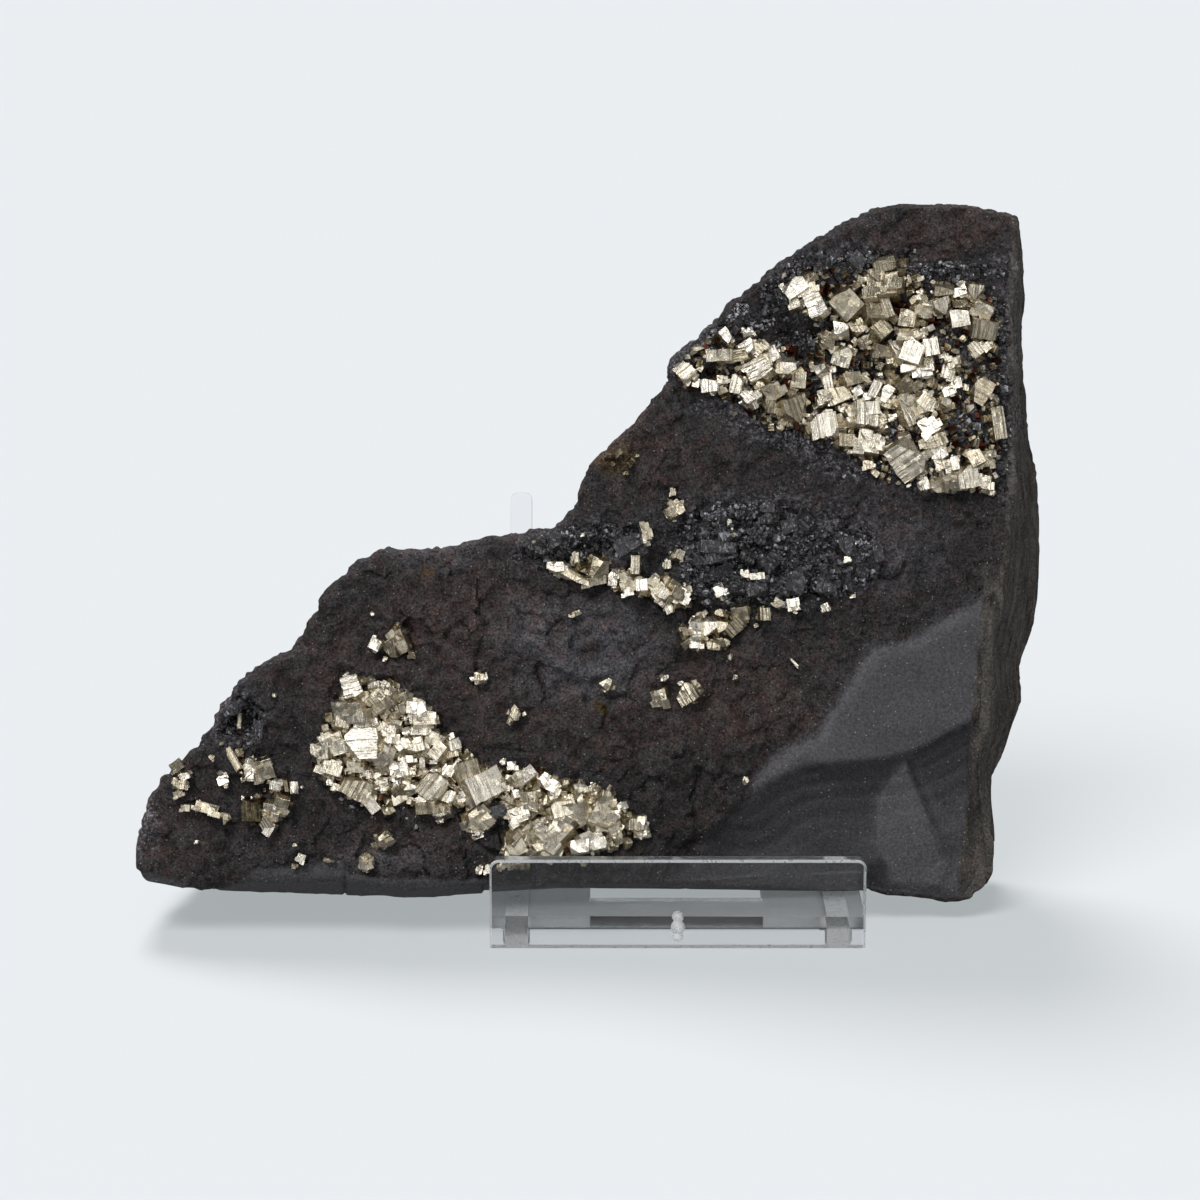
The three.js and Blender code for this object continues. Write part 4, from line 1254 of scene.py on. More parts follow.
UPPER = """
686,373,19,18,-51,8,c 696,350,13,6,15,5,r 726,336,15,10,-50,9,c 748,334,12,10,10,9,f
720,355,27,12,16,7,s 726,362,18,6,5,3,r 748,348,13,16,-58,9,c 760,347,14,14,30,5,f
738,355,13,17,-55,4,c 773,355,14,15,30,9,f 781,370,10,12,20,5,f 757,371,25,23,-65,8,c
766,362,10,15,10,5,f 788,367,16,18,12,9,f 711,386,18,14,5,9,c 722,380,13,9,20,6,r
738,385,13,19,2,7,c 749,398,16,17,40,9,f 760,386,9,7,15,5,r 771,392,22,18,10,6,r
771,407,15,15,12,5,f 791,409,26,26,40,5,c 803,404,14,9,15,4,r 780,424,10,9,30,6,r
802,422,6,6,0,7,r 797,381,16,20,-20,6,r 685,387,5,5,20,6,r 735,413,4,4,10,6,r
783,349,5,5,0,5,r 784,275,5,5,10,6,r 795,288,24,16,35,9,c 808,277,18,11,10,5,r
807,290,20,14,15,6,r 794,305,13,13,20,8,f 815,305,27,17,-70,9,c 844,303,26,28,18,5,f
861,281,12,11,-20,6,r 884,288,36,28,12,5,r 884,263,23,15,5,5,f 874,314,23,21,15,5,f
887,307,10,24,32,6,s 841,329,15,18,5,9,f 858,328,16,16,28,5,f 867,330,5,5,0,9,r
880,332,17,17,28,4,f 827,340,15,15,40,5,f 817,341,5,7,0,8,r 864,342,20,12,15,6,r
880,350,18,13,-10,5,r 843,356,19,20,8,7,c 820,370,12,13,25,8,f 833,369,6,8,0,8,r
943,290,20,12,5,5,f 921,293,9,9,30,6,r 958,293,15,13,15,9,f 974,291,15,15,8,7,c
960,305,20,10,10,4,r 923,308,19,19,12,5,f 941,306,17,17,28,7,c 959,319,19,18,10,8,f
983,309,22,17,-15,6,r 982,328,26,19,10,5,f 990,337,10,20,5,5,r 979,347,18,18,15,7,f
910,320,18,18,-5,6,f 905,335,27,14,10,5,r 923,334,9,12,10,8,r 914,353,22,24,-20,9,f
933,348,15,18,10,8,f 928,362,12,10,10,7,r 897,353,15,21,20,6,r 908,369,16,11,0,8,f
923,372,23,14,5,9,f 953,364,21,18,30,7,r 947,373,14,13,0,7,f 908,281,6,11,0,6,r
828,383,10,18,10,9,s 850,380,19,14,20,5,f 839,395,23,18,5,5,c 825,399,14,14,15,8,r
858,392,13,11,30,8,r 866,398,8,8,0,8,r 875,391,10,18,-25,9,s 886,394,18,11,55,8,c
884,405,22,10,5,6,f 845,407,11,10,20,6,r 865,380,10,16,20,6,r 889,382,8,8,0,6,r
823,426,28,26,10,9,c 862,418,27,23,3,7,c 846,443,16,14,10,5,f 868,446,26,24,-10,8,r
881,420,10,16,10,6,r 892,418,12,9,15,8,r 850,452,6,5,0,6,r 868,466,12,9,5,5,r
904,384,20,19,15,4,f 921,385,13,10,0,7,r 924,403,21,24,-20,6,r 907,412,23,30,35,6,r
950,377,9,10,0,9,f 948,391,14,14,20,9,f 957,384,10,12,10,8,r 943,403,18,15,5,6,r
930,428,21,19,30,8,r 933,443,24,14,10,5,f 938,455,18,20,20,9,r 954,465,15,16,10,8,r
975,459,15,18,8,5,f 988,458,12,18,5,5,f 905,458,38,31,-75,7,c 943,466,14,10,0,6,r
951,480,20,20,25,6,r 935,486,13,15,5,5,f 924,484,11,17,15,8,r 967,477,21,23,10,8,c
985,483,16,16,-15,7,f 992,493,8,8,0,7,r 981,391,26,19,60,4,c 996,423,13,33,3,5,s
947,418,7,7,0,7,r 927,454,10,9,20,7,r 900,428,7,6,0,7,r
"""
print("upper group:", len(entries_of(UPPER)), "crystals")

# %% [markdown]
# The lower group is as large, but duller and more broken, and its cubes are smaller.

# %% The crystals of the lower group
LOWER = """
351,688,22,17,-75,8,c 353,692,16,6,30,6,s 375,686,12,6,10,9,s 380,700,24,23,25,4,f
400,702,18,30,8,5,r 391,712,6,8,10,8,r 352,710,36,25,8,6,r 334,710,4,4,0,9,r
332,718,4,4,0,9,r 341,724,15,11,0,6,f 359,721,14,6,0,8,s 362,726,16,5,5,9,s
374,722,12,10,0,5,r 415,709,22,24,12,7,r 424,720,24,16,5,5,f 434,722,5,14,-10,9,s
331,743,33,28,15,6,r 363,744,31,33,92,9,c 391,736,17,21,-3,9,f 397,724,10,10,0,5,f
380,756,28,28,25,5,r 331,769,27,18,-25,6,r 330,782,7,8,10,9,f 337,788,12,7,0,6,r
354,766,16,12,20,6,r 366,776,12,12,10,7,r 356,787,31,21,-35,4,c 381,784,14,16,0,9,f
369,801,12,26,38,9,s 408,760,16,8,5,9,f 404,770,14,16,10,8,f 412,771,9,12,5,5,f
393,767,10,14,10,8,r 396,783,10,10,0,8,r 410,787,15,11,-10,7,f 399,799,16,13,10,5,f
407,731,7,8,20,9,f 421,732,21,11,-5,8,c 417,746,20,16,35,5,f 402,745,14,10,35,9,s
437,740,18,15,-20,5,f 440,751,19,13,35,6,f 455,745,12,10,15,8,c 454,754,12,7,5,3,f
452,736,6,7,20,9,r 424,763,6,13,5,9,s 434,762,8,4,0,9,s 427,774,8,12,20,9,r
435,772,10,14,30,9,r 447,771,10,12,-35,9,c 453,769,8,17,-30,7,c 468,770,26,25,12,4,c
483,786,38,28,20,6,f 503,785,13,12,10,5,f 435,786,26,30,-15,5,c 425,797,12,7,25,9,s
430,806,27,12,10,3,c 450,797,11,14,-25,9,c 441,814,14,12,40,8,c 464,794,12,8,10,9,r
479,817,27,26,15,4,f 478,832,14,10,0,8,r 503,762,7,7,20,9,r 512,766,10,10,10,9,f
519,778,16,20,-20,5,f 509,778,7,5,0,8,r 530,776,16,14,40,9,f 517,794,7,9,20,9,f
508,801,14,13,10,5,r 530,797,20,18,15,5,f 520,816,20,17,25,7,r 514,826,12,9,5,9,r
520,838,32,24,15,4,r 505,852,8,5,0,9,r 528,851,6,6,0,9,r 551,785,21,15,-30,8,f
552,778,14,7,0,5,r 563,783,11,8,10,5,f 555,793,12,8,30,8,r 579,787,15,11,0,5,f
593,785,6,5,0,9,r 594,791,13,13,10,5,f 606,797,17,15,-10,4,f 582,811,23,23,-40,5,f
561,808,25,23,12,5,f 531,806,27,12,-10,6,r 618,809,17,13,30,8,r 601,817,24,24,0,5,r
605,823,26,16,10,5,f 613,831,13,18,0,6,r 634,822,20,16,5,5,f 644,832,11,11,20,8,r
589,841,32,22,10,8,r 557,834,36,32,20,6,r 540,845,22,14,0,5,r 505,862,12,14,0,5,r
523,859,12,8,5,7,r 584,861,8,7,0,3,r
"""
print("lower group:", len(entries_of(LOWER)), "crystals")

# %% [markdown]
# Three small groups follow: one near the left tip, and two along the seam in the middle.
# The crystals that stand alone are of two sorts. Those of a good size have a solid of
# their own in the CAD model, and the smallest are only seen here, as grains.

# %% The crystals of the smaller groups and the scattered ones
LEFT = """
235,758,8,26,38,6,c 250,770,15,28,5,9,r 264,767,20,24,10,6,r 278,784,14,13,-5,9,f
287,785,4,12,0,5,s 254,809,20,21,5,2,f 243,798,4,5,0,9,r 252,799,3,5,0,9,r
272,808,17,17,10,7,f 281,804,15,20,-15,5,f 268,820,13,15,20,5,c 271,829,9,15,-32,9,c
"""
SEAM_LEFT = """
557,568,18,11,5,8,f 573,576,34,10,-15,5,r 598,566,20,20,45,4,f 594,580,26,10,5,5,r
615,578,11,20,-5,9,f 627,580,14,21,8,5,f 636,565,9,19,-15,7,s 628,592,13,10,10,8,r
643,586,12,12,5,9,f 656,588,14,22,20,6,r 673,592,22,22,10,5,r 683,598,14,16,-25,9,r
661,602,12,8,-35,9,c 669,609,9,10,25,8,c 576,558,9,16,0,6,r 668,564,8,11,0,8,r
"""
SEAM_RIGHT = """
711,626,16,18,15,9,f 723,626,13,14,0,5,f 735,625,20,14,20,5,c 702,615,14,10,30,8,r
697,630,22,15,90,8,c 697,645,13,11,5,9,f 685,633,11,11,15,5,f 685,643,10,9,35,5,f
716,644,22,13,-15,5,r 740,611,17,15,10,5,f
"""
SINGLES = """
397,639,22,30,12,5,r 513,715,11,18,-10,6,r 606,685,12,14,25,6,f 661,696,17,20,10,6,f
689,693,21,20,35,6,c 674,509,17,20,15,5,r 223,780,12,14,20,9,f 208,808,27,12,-5,5,f
179,785,15,11,10,5,f 302,858,9,10,-20,9,f 383,838,17,17,30,5,f 720,591,12,13,30,9,f
777,604,10,12,40,6,f 794,605,13,13,10,8,f 763,615,11,13,25,5,f 677,555,13,12,-25,6,r
646,531,10,20,5,6,r
"""
GRAINS = """
241,722,4,16,0,8,s 222,743,4,3,0,5,r 212,758,6,7,40,5,r 179,768,13,13,5,5,f
186,776,11,8,25,8,c 178,794,11,7,0,5,r 186,807,11,8,0,7,r 225,818,10,11,0,4,r
295,788,8,12,0,9,c 302,787,3,3,0,9,r 295,866,9,7,0,5,r 295,845,4,4,0,5,r
197,842,4,4,0,9,r 377,644,12,12,0,7,f 372,614,5,5,0,6,r 413,654,8,8,0,6,r
385,659,5,5,0,7,r 479,678,13,11,10,6,r 524,714,4,4,0,7,r 664,678,10,8,0,7,r
673,492,6,8,0,6,r 648,543,5,6,0,7,r 736,678,5,5,0,6,r 794,663,3,12,40,6,r
746,780,6,8,0,7,r 366,863,17,15,5,7,r 480,869,6,11,0,7,r 488,869,7,11,0,8,r
329,860,14,6,0,6,r 575,613,12,6,10,5,r 583,535,4,4,0,8,r 534,542,4,4,0,6,r
274,695,5,5,0,6,r 730,657,5,7,0,6,r 608,455,8,5,0,2,r 618,452,10,7,20,3,r
630,462,9,6,40,2,r 613,464,6,5,0,2,r 637,456,5,4,0,3,r 626,473,6,4,0,2,r
745,575,9,9,0,9,f 757,577,15,7,5,8,s
826,607,9,9,5,7,f 756,626,5,5,0,8,r 729,522,5,6,0,9,r 732,529,3,3,0,9,r
733,535,5,5,0,6,r 855,543,4,4,0,9,r 847,560,7,6,0,8,r 853,596,6,4,0,6,r
"""
for name, listed in (("left", LEFT), ("left seam", SEAM_LEFT), ("right seam", SEAM_RIGHT),
                     ("alone", SINGLES), ("grains", GRAINS)):
    print(name, len(entries_of(listed)), "crystals")

# %% [markdown]
# Each crystal is put on the stone where its photo place meets the surface, its foot sunk
# in. A bright one is tilted so that its front face mirrors the main soft box to the
# viewer; the others are tilted at random, so their sides catch other light.

# %% Placing the crystals
SHINE_ON_FACE = FACE_TURN.transposed() @ SHINE_FROM
GLINT = (SHINE_ON_FACE + Vector((0, 0, 1))).normalized()
BRIGHT = 8
GLINT_SPREAD = 0.2
MOST_TILT = math.radians(30)
CHIP_TURN = 0.6
DEEPEST = 4.2 * MM
SMALL = 2 * MM
CRUST = 0.9 * MM
CHIPPED_FROM = 10 * PIXEL
LAST_DEPTH = -2 * MM
MOST_TONE = 9.5


def crystal_turn(turn, tone, squareness, rng):
    """The turn, in the object's frame, of a crystal on the face. Long ones lean less."""
    spin = Matrix.Rotation(math.radians(turn), 3, "Z")
    if tone >= BRIGHT:
        aim = GLINT + Vector(rng.uniform(-GLINT_SPREAD, GLINT_SPREAD, 3))
        tilt = Vector((0, 0, 1)).rotation_difference(aim).to_matrix()
    else:
        tilt = small_turn(rng, MOST_TILT * squareness)
    return FACE_TURN @ tilt @ spin


def add_chips(heap, middle, turn, size, tone, rng):
    """Small broken pieces at the border of a larger crystal."""
    for _ in range(rng.integers(3, 7)):
        around = rng.uniform(0, 2 * math.pi)
        border = Vector((size[0] * math.cos(around), size[1] * math.sin(around), 0)) * 0.55
        place = middle + turn @ border - OUTWARD * size[2] * rng.uniform(0.0, 0.3)
        chip = min(size[0], size[1]) * rng.uniform(0.22, 0.5) * rng.uniform(0.6, 1.2, 3)
        level = tone / MOST_TONE + rng.uniform(-0.25, 0.3)
        pattern = pick(CHIPS, rng)
        add_copy(heap, pattern, turn @ small_turn(rng, CHIP_TURN), chip, place, level, rng)


def place_crystal(heap, entry, rng):
    """Puts one crystal of a list on the stone, with chips around it if it is large."""
    x, y, width, height, turn, tone, kind = entry
    depth = stone_depth(x, y)
    if depth is None:
        depth = LAST_DEPTH
    wide, high = width * PIXEL, height * PIXEL
    deep = min(DEEPEST, 0.5 * (wide + high) * rng.uniform(0.85, 1.1))
    pattern = pick(PATTERNS[kind], rng)
    top = 0.35 * CRUST + 0.62 * deep + 0.3 * CRUST * (deep < SMALL)
    middle = on_face(x, y, depth + top - 0.5 * deep)
    level = (tone + rng.uniform(-0.6, 0.6)) / MOST_TONE
    facing = crystal_turn(turn, tone, min(wide, high) / max(wide, high), rng)
    size = (wide, high, deep)
    add_copy(heap, pattern, facing, size, middle, level, rng)
    if min(wide, high) > CHIPPED_FROM:
        add_chips(heap, middle, facing, size, tone, rng)


trial = new_heap()
place_crystal(trial, entries_of(SINGLES)[0], np.random.default_rng(0))
print("a lone crystal and its chips:", len(trial["faces"]), "faces")

# %% [markdown]
# Between the cubes of a group lies a crust of small broken pyrite. It is scattered on a
# jittered grid over the group's own outline, in a range of tones that each group has.

# %% Crust between the crystals
UPPER_EDGE = [
    (676, 377), (690, 347), (718, 332), (755, 330), (782, 346), (812, 356), (824, 340),
    (812, 318), (786, 303), (784, 282), (830, 264), (897, 258), (930, 281), (985, 281),
    (997, 305), (998, 400), (1000, 440), (995, 496), (925, 492), (880, 478), (840, 452),
    (800, 432), (775, 430), (745, 412), (720, 394), (690, 391)]
LOWER_EDGE = [
    (340, 684), (362, 680), (398, 684), (412, 697), (434, 708), (438, 733), (460, 744),
    (482, 762), (500, 770), (514, 764), (540, 772), (556, 778), (600, 786), (616, 802),
    (644, 816), (646, 838), (604, 851), (560, 853), (508, 866), (502, 848), (510, 816),
    (492, 800), (490, 828), (478, 838), (466, 828), (464, 801), (447, 818), (432, 812),
    (400, 806), (380, 812), (356, 800), (332, 790), (318, 770), (316, 746), (322, 730),
    (332, 706)]
SEAM_LEFT_EDGE = [
    (549, 563), (568, 563), (589, 568), (597, 557), (609, 568), (628, 568), (636, 556),
    (641, 578), (664, 576), (687, 582), (690, 604), (672, 612), (655, 604), (636, 592),
    (610, 588), (580, 584), (552, 577)]
SEAM_RIGHT_EDGE = [
    (690, 622), (700, 610), (728, 612), (740, 602), (750, 612), (742, 629), (722, 634),
    (728, 650), (706, 652), (682, 648), (679, 630)]
LEFT_EDGE = [
    (226, 746), (232, 745), (244, 756), (258, 753), (272, 758), (276, 777), (290, 779),
    (289, 794), (288, 814), (274, 834), (262, 826), (245, 819), (243, 800), (264, 792),
    (268, 782), (250, 784), (240, 772)]


def random_turn(rng):
    return turned(*rng.uniform(0, math.pi, 3))


def grid_inside(outline, step, rng):
    """Jittered points of a grid that lie inside an outline of photo points."""
    xs, ys = zip(*outline)
    columns = np.arange(min(xs), max(xs), step)
    rows = np.arange(min(ys), max(ys), step)
    x, y = (axis.ravel() for axis in np.meshgrid(columns, rows))
    x = x + rng.uniform(-0.5, 0.5, len(x)) * step
    y = y + rng.uniform(-0.5, 0.5, len(y)) * step
    inside = inside_outline(x, y, outline)
    return list(zip(x[inside], y[inside]))


def fill_crust(heap, outline, step, largest, tones, rng):
    """Chips on a grid of step pixels, up to largest mm, in a range of tones."""
    for x, y in grid_inside(outline, step, rng):
        depth = stone_depth(x, y)
        if depth is None:
            continue
        size = largest * rng.uniform(0.4, 1.0) * rng.uniform(0.6, 1.2, 3) * MM
        pattern = pick(CHIPS, rng)
        place = on_face(x, y, depth + rng.uniform(0.0, 0.35) * largest * MM)
        add_copy(heap, pattern, random_turn(rng), size, place, rng.uniform(*tones) / MOST_TONE, rng)


trial = new_heap()
fill_crust(trial, LEFT_EDGE, 9, 1.3, (1.5, 6.0), np.random.default_rng(0))
print("crust of the left group:", len(trial["faces"]), "faces")

# %% [markdown]
# Now the groups are made, one piece each: the crust first, then the crystals of its list.
# The lower group is lifted a little in tone, which paints more light into its colour,
# because it came out darker in the render than in the photograph. Each group, and each
# crystal that stands alone, takes the place of its CAD node. The smallest scattered grains
# have no node, and are a piece of their own.

# %% The pyrite pieces
LOWER_PAINTED_LIGHT_LIFT = 1.2
BRIGHTEST = 9
FIRST_SINGLE_SEED = 50
GRAIN_SEED = 90
GROUPS = [
    (UPPER, "upper_crystals", "pyrite_upper", (UPPER_EDGE, 8.5, 1.5, (0.5, 8.5)), 0),
    (LOWER, "lower_crystals", "pyrite_lower", (LOWER_EDGE, 7, 1.9, (2.5, 9.5)), LOWER_PAINTED_LIGHT_LIFT),
    (SEAM_LEFT, "left_seam_crystals", "pyrite_seam_left", (SEAM_LEFT_EDGE, 7, 1.6, (2.0, 7.0)), 0),
    (SEAM_RIGHT, "right_seam_crystals", "pyrite_seam_right",
     (SEAM_RIGHT_EDGE, 7, 1.6, (2.0, 7.0)), 0),
    (LEFT, "left_crystals", "pyrite_left", (LEFT_EDGE, 9, 1.3, (1.5, 6.0)), 0),
]


def pyrite_piece(text, name, seed, crust=None, lift=0):
    heap = new_heap()
    rng = np.random.default_rng(seed)
    if crust:
        fill_crust(heap, *crust, rng)
    for *place, tone, kind in entries_of(text):
        place_crystal(heap, (*place, min(tone + lift, BRIGHTEST), kind), rng)
    piece = piece_from_heap(heap, name, PYRITE)
    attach(piece, "root")
    print(name, len(heap["faces"]), "faces")
    return piece


for number, (text, name, node, crust, lift) in enumerate(GROUPS):
    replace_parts(pyrite_piece(text, name, number + 1, crust, lift), node)
for index, word in enumerate(SINGLES.split()):
    single = pyrite_piece(word, "lone_crystal_%d" % (index + 1), FIRST_SINGLE_SEED + index)
    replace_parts(single, "pyrite_single_%d" % (index + 1))
pyrite_piece(GRAINS, "scattered_grains", GRAIN_SEED)

# %% [markdown]
# Dark patches of the stone glitter: they are covered with tiny black crystals, whose
# faces mirror the light like glass. They are small boxes of many sizes, turned every way,
# strewn over the patches where the photograph shows them. In a few places the smallest
# ones are pale, and look like frost between the cubes.

# %% Glittering dark crystal
DRUSE_ZONES = [
    ((735, 545), (60, 45), 0, 0.55, 900), ((780, 580), (60, 26), -5, 0.55, 520),
    ((840, 560), (45, 36), 0, 0.5, 420), ((585, 545), (72, 20), 12, 0.55, 460),
    ((242, 722), (24, 28), 0, 0.45, 240), ((800, 340), (24, 30), -20, 0.5, 180),
    ((775, 290), (18, 20), 0, 0.5, 110), ((850, 262), (70, 14), 5, 0.5, 240),
    ((960, 400), (46, 90), 0, 0.55, 480), ((1004, 400), (7, 100), 0, 0.4, 170),
    ((800, 440), (90, 18), -25, 0.4, 190), ((960, 272), (44, 10), 0, 0.5, 150),
    ((497, 812), (14, 14), 0, 0.4, 50), ((820, 380), (120, 60), -20, 0.55, 800),
    ((400, 790), (90, 36), -15, 0.4, 200), ((725, 590), (40, 20), 0, 0.55, 200),
]
BLACK_CRYSTALS = """
720,546,36,13,6,5,c 722,558,32,12,3,4,c 718,570,26,10,8,4,c 767,508,16,10,0,5,c
767,519,15,11,0,3,c 741,512,14,12,30,1,f 755,535,20,15,-20,2,f 790,528,18,14,30,4,f
806,520,14,14,55,3,c 746,555,18,14,-20,2,f 768,562,22,16,25,3,f 800,545,16,12,10,1,f
795,582,24,17,65,5,c 826,586,20,18,-30,4,f 848,548,16,20,25,5,c 878,552,10,26,20,4,c
757,590,22,18,10,3,f 735,588,18,16,-15,2,f 700,562,16,14,0,3,f 808,604,16,14,35,2,f
862,570,14,12,-10,3,f 838,570,12,10,20,1,f 780,545,12,10,0,2,r 812,562,14,10,0,3,f
840,268,26,14,-30,2,c 842,278,22,10,-30,1,c 856,262,16,15,-22,6,f 871,260,9,12,-15,5,f
780,300,14,18,20,1,f 534,545,20,14,-25,3,f 555,540,18,14,30,4,f 625,545,26,24,35,5,f
585,556,16,10,10,1,f 640,548,10,14,10,3,c 236,706,22,8,30,5,c 258,732,8,24,-20,6,c
240,726,12,14,10,1,f 498,810,17,17,30,5,f 571,826,10,8,20,1,f
690,580,12,10,10,2,f 705,548,14,10,-10,3,c 745,600,12,10,0,2,f 665,560,12,8,0,1,f
960,392,14,12,0,2,f 972,410,12,14,20,3,f 958,425,14,10,-10,2,f 982,440,10,14,0,2,f
"""
FROST_ZONES = [
    ((735, 312), (18, 7), 20, 0.3, 110), ((762, 325), (16, 6), 15, 0.3, 80),
    ((852, 261), (22, 6), -5, 0.3, 110), ((930, 269), (44, 6), 5, 0.3, 200),
    ((993, 330), (4, 44), 0, 0.3, 110), ((845, 371), (26, 7), 15, 0.3, 110),
    ((880, 463), (26, 6), -25, 0.3, 110), ((925, 452), (12, 7), 0, 0.3, 60),
    ((955, 378), (14, 9), 0, 0.3, 80), ((704, 340), (12, 6), 40, 0.3, 70),
    ((792, 433), (22, 4), -28, 0.3, 60), ((560, 541), (34, 8), 10, 0.3, 130),
    ((735, 512), (38, 6), 10, 0.3, 140), ((688, 565), (10, 14), 0, 0.3, 70),
    ((860, 545), (26, 8), -20, 0.3, 90), ((215, 708), (10, 6), 40, 0.3, 30),
]
FROST_TONES = (0.88, 1.1)
# Strewn crystals whose random tone reaches the pale top of the ramp are painted sparkle.
DRUSE_TONES = (0, 1)
DRUSE_SEED = 77
RIM_PIXELS = 6
GRIT_LIFT = 0.05 * MM
BLACK_TURN = 0.35
BLACK_SUNK = 0.2


def strew(heap, zone, tones, rng):
    """Small broken crystals, turned every way, over an ellipse of the face."""
    (cx, cy), (half_x, half_y), turn, largest, count = zone
    angle = math.radians(turn)
    for _ in range(count):
        reach, around = math.sqrt(rng.uniform()), rng.uniform(0, 2 * math.pi)
        across = half_x * reach * math.cos(around)
        along = half_y * reach * math.sin(around)
        x = cx + across * math.cos(angle) - along * math.sin(angle)
        y = cy - across * math.sin(angle) - along * math.cos(angle)
        depth = stone_depth(x, y)
        if depth is None or stone_depth(x - RIM_PIXELS, y - RIM_PIXELS) is None:
            continue
        size = largest * rng.uniform(0.3, 1.1) ** 2 * rng.uniform(0.5, 1.6, 3) * 1.3 * MM
        pattern = pick(GRIT, rng)
        place = on_face(x, y, depth + GRIT_LIFT)
        add_copy(heap, pattern, random_turn(rng), size, place, rng.uniform(*tones), rng)


def strew_druse():
    """The larger black crystals one by one, then the fine ones zone by zone."""
    heap = new_heap()
    rng = np.random.default_rng(DRUSE_SEED)
    for entry in entries_of(BLACK_CRYSTALS):
        x, y, width, height, turn, tone, kind = entry
        depth = stone_depth(x, y)
        if depth is None:
            continue
        size = np.array((width, height, 0.5 * (width + height))) * PIXEL
        pattern = pick(PATTERNS[kind], rng)
        spin = Matrix.Rotation(math.radians(turn), 3, "Z")
        facing = FACE_TURN @ small_turn(rng, BLACK_TURN) @ spin
        place = on_face(x, y, depth - BLACK_SUNK * size[2])
        add_copy(heap, pattern, facing, size, place, tone / MOST_TONE, rng)
    for zone in DRUSE_ZONES:
        strew(heap, zone, DRUSE_TONES, rng)
    for zone in FROST_ZONES:
        strew(heap, zone, FROST_TONES, rng)
    return heap


druse_heap = strew_druse()
print("druse:", len(druse_heap["faces"]), "faces")

# %% [markdown]
# The dark crystal isn't a metal: it is black and glassy, with an index of refraction a
# little above that of window glass. The tone runs from black to grey, turns rusty in a
# narrow band, and is pale at its top end: frost in the frost zones, and painted sparkle on
# the few strewn crystals whose random tone reaches it.

# %% Druse material
DRUSE_COLOURS_AND_PAINTED_SPARKLE = [
    (0.0, (0.009, 0.009, 0.010)), (0.25, (0.022, 0.021, 0.023)), (0.55, (0.055, 0.054, 0.058)),
    (0.84, (0.11, 0.11, 0.118)), (0.86, (0.06, 0.02, 0.012)), (0.88, (0.40, 0.40, 0.43)),
]
DRUSE_STRETCH = (3.5, 0.3, 0.3)
DRUSE_IOR = 1.6


def druse_material():
    material, tree, shader = new_material("black_glassy_crystal")
    colour = ramp_node(tree, point_value(tree, "tone"), DRUSE_COLOURS_AND_PAINTED_SPARKLE)
    own = point_value(tree, "own", "Vector")
    pits = noise_node(tree, own, 3.0, 3, 0.6)
    lines = noise_node(tree, vector_node(tree, "MULTIPLY", own, DRUSE_STRETCH), 1.0, 2)
    uneven = bump_node(tree, facets_node(tree, own, 2.5), 1.0, 0.9 * MM)
    feed(tree, shader, {"Base Color": colour, "IOR": DRUSE_IOR,
                        "Roughness": range_node(tree, pits, (0.3, 0.7), (0.1, 0.3)),
                        "Normal": bump_node(tree, lines, 1.0, 0.25 * MM, uneven)})
    return material


druse = piece_from_heap(druse_heap, "glittering_druse", druse_material())
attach(druse, "root")
print("druse finish:", druse.data.materials[0].name)

# %% [markdown]
# The rock's colour is built in layers. The tint comes from the points, the tops of the
# grain get painted light and its pits painted shade, a rusty stain lies over it, then dust,
# and last a sprinkling of pale specks, partly mineral grains and partly painted glints,
# which are the small discs of a cell pattern. Where the stone is glassy, the layers fade.

# %% Stone material: the layers of its colour
LUMPS_SCALE = 850
GRAIN_SCALE = 2600
STAIN_SCALE = 380
DUST_SCALE = 1500
SPECK_SCALE = 1700
STAIN = (1.25, 0.9, 0.82, 1)
NO_STAIN = (1.0, 1.0, 1.0, 1)
DUST_COLOUR = (0.26, 0.255, 0.285, 1)
SPECK_AND_GLINT_COLOUR = (0.30, 0.29, 0.28, 1)
SPECK_STRENGTH = 0.8


def grain_mottle_and_painted_relief_shade(tree, glassy, lumps, grain):
    """How light the rock is at each place, as a grey that its tint is multiplied by: random
    mottle of the grain and, where the rock is crusty, painted light on the tops and painted
    shade in the pits.
    """
    height = range_node(tree, point_value(tree, "relief"), (0.1, 0.9), (0.78, 1.25))
    broad = range_node(tree, lumps, (0.35, 0.65), (0.8, 1.22))
    fine = range_node(tree, grain, (0.37, 0.63), (0.5, 1.6))
    crusty = math_node(tree, "MULTIPLY", math_node(tree, "MULTIPLY", height, broad), fine)
    quiet = range_node(tree, grain, (0.37, 0.63), (0.72, 1.33))
    light = add_node(tree, "ShaderNodeMix", data_type="FLOAT")
    feed(tree, light, {0: glassy, 2: crusty, 3: quiet})
    grey = add_node(tree, "ShaderNodeCombineColor")
    feed(tree, grey, {channel: light.outputs[0] for channel in range(3)})
    return grey.outputs[0]


def with_stain(tree, place, glassy, colour):
    stain = range_node(tree, noise_node(tree, place, STAIN_SCALE, 5, 0.7), (0.46, 0.66), (0.0, 0.8))
    stain_colour = mix_colours(tree, glassy, STAIN, NO_STAIN)
    return mix_colours(tree, stain, colour, stain_colour, "MULTIPLY")


def with_dust(tree, place, colour):
    spots = range_node(tree, noise_node(tree, place, DUST_SCALE, 5, 0.75), (0.5, 0.64), (0, 0.8))
    share = math_node(tree, "MULTIPLY", spots, point_value(tree, "dust"))
    return mix_colours(tree, share, colour, DUST_COLOUR)


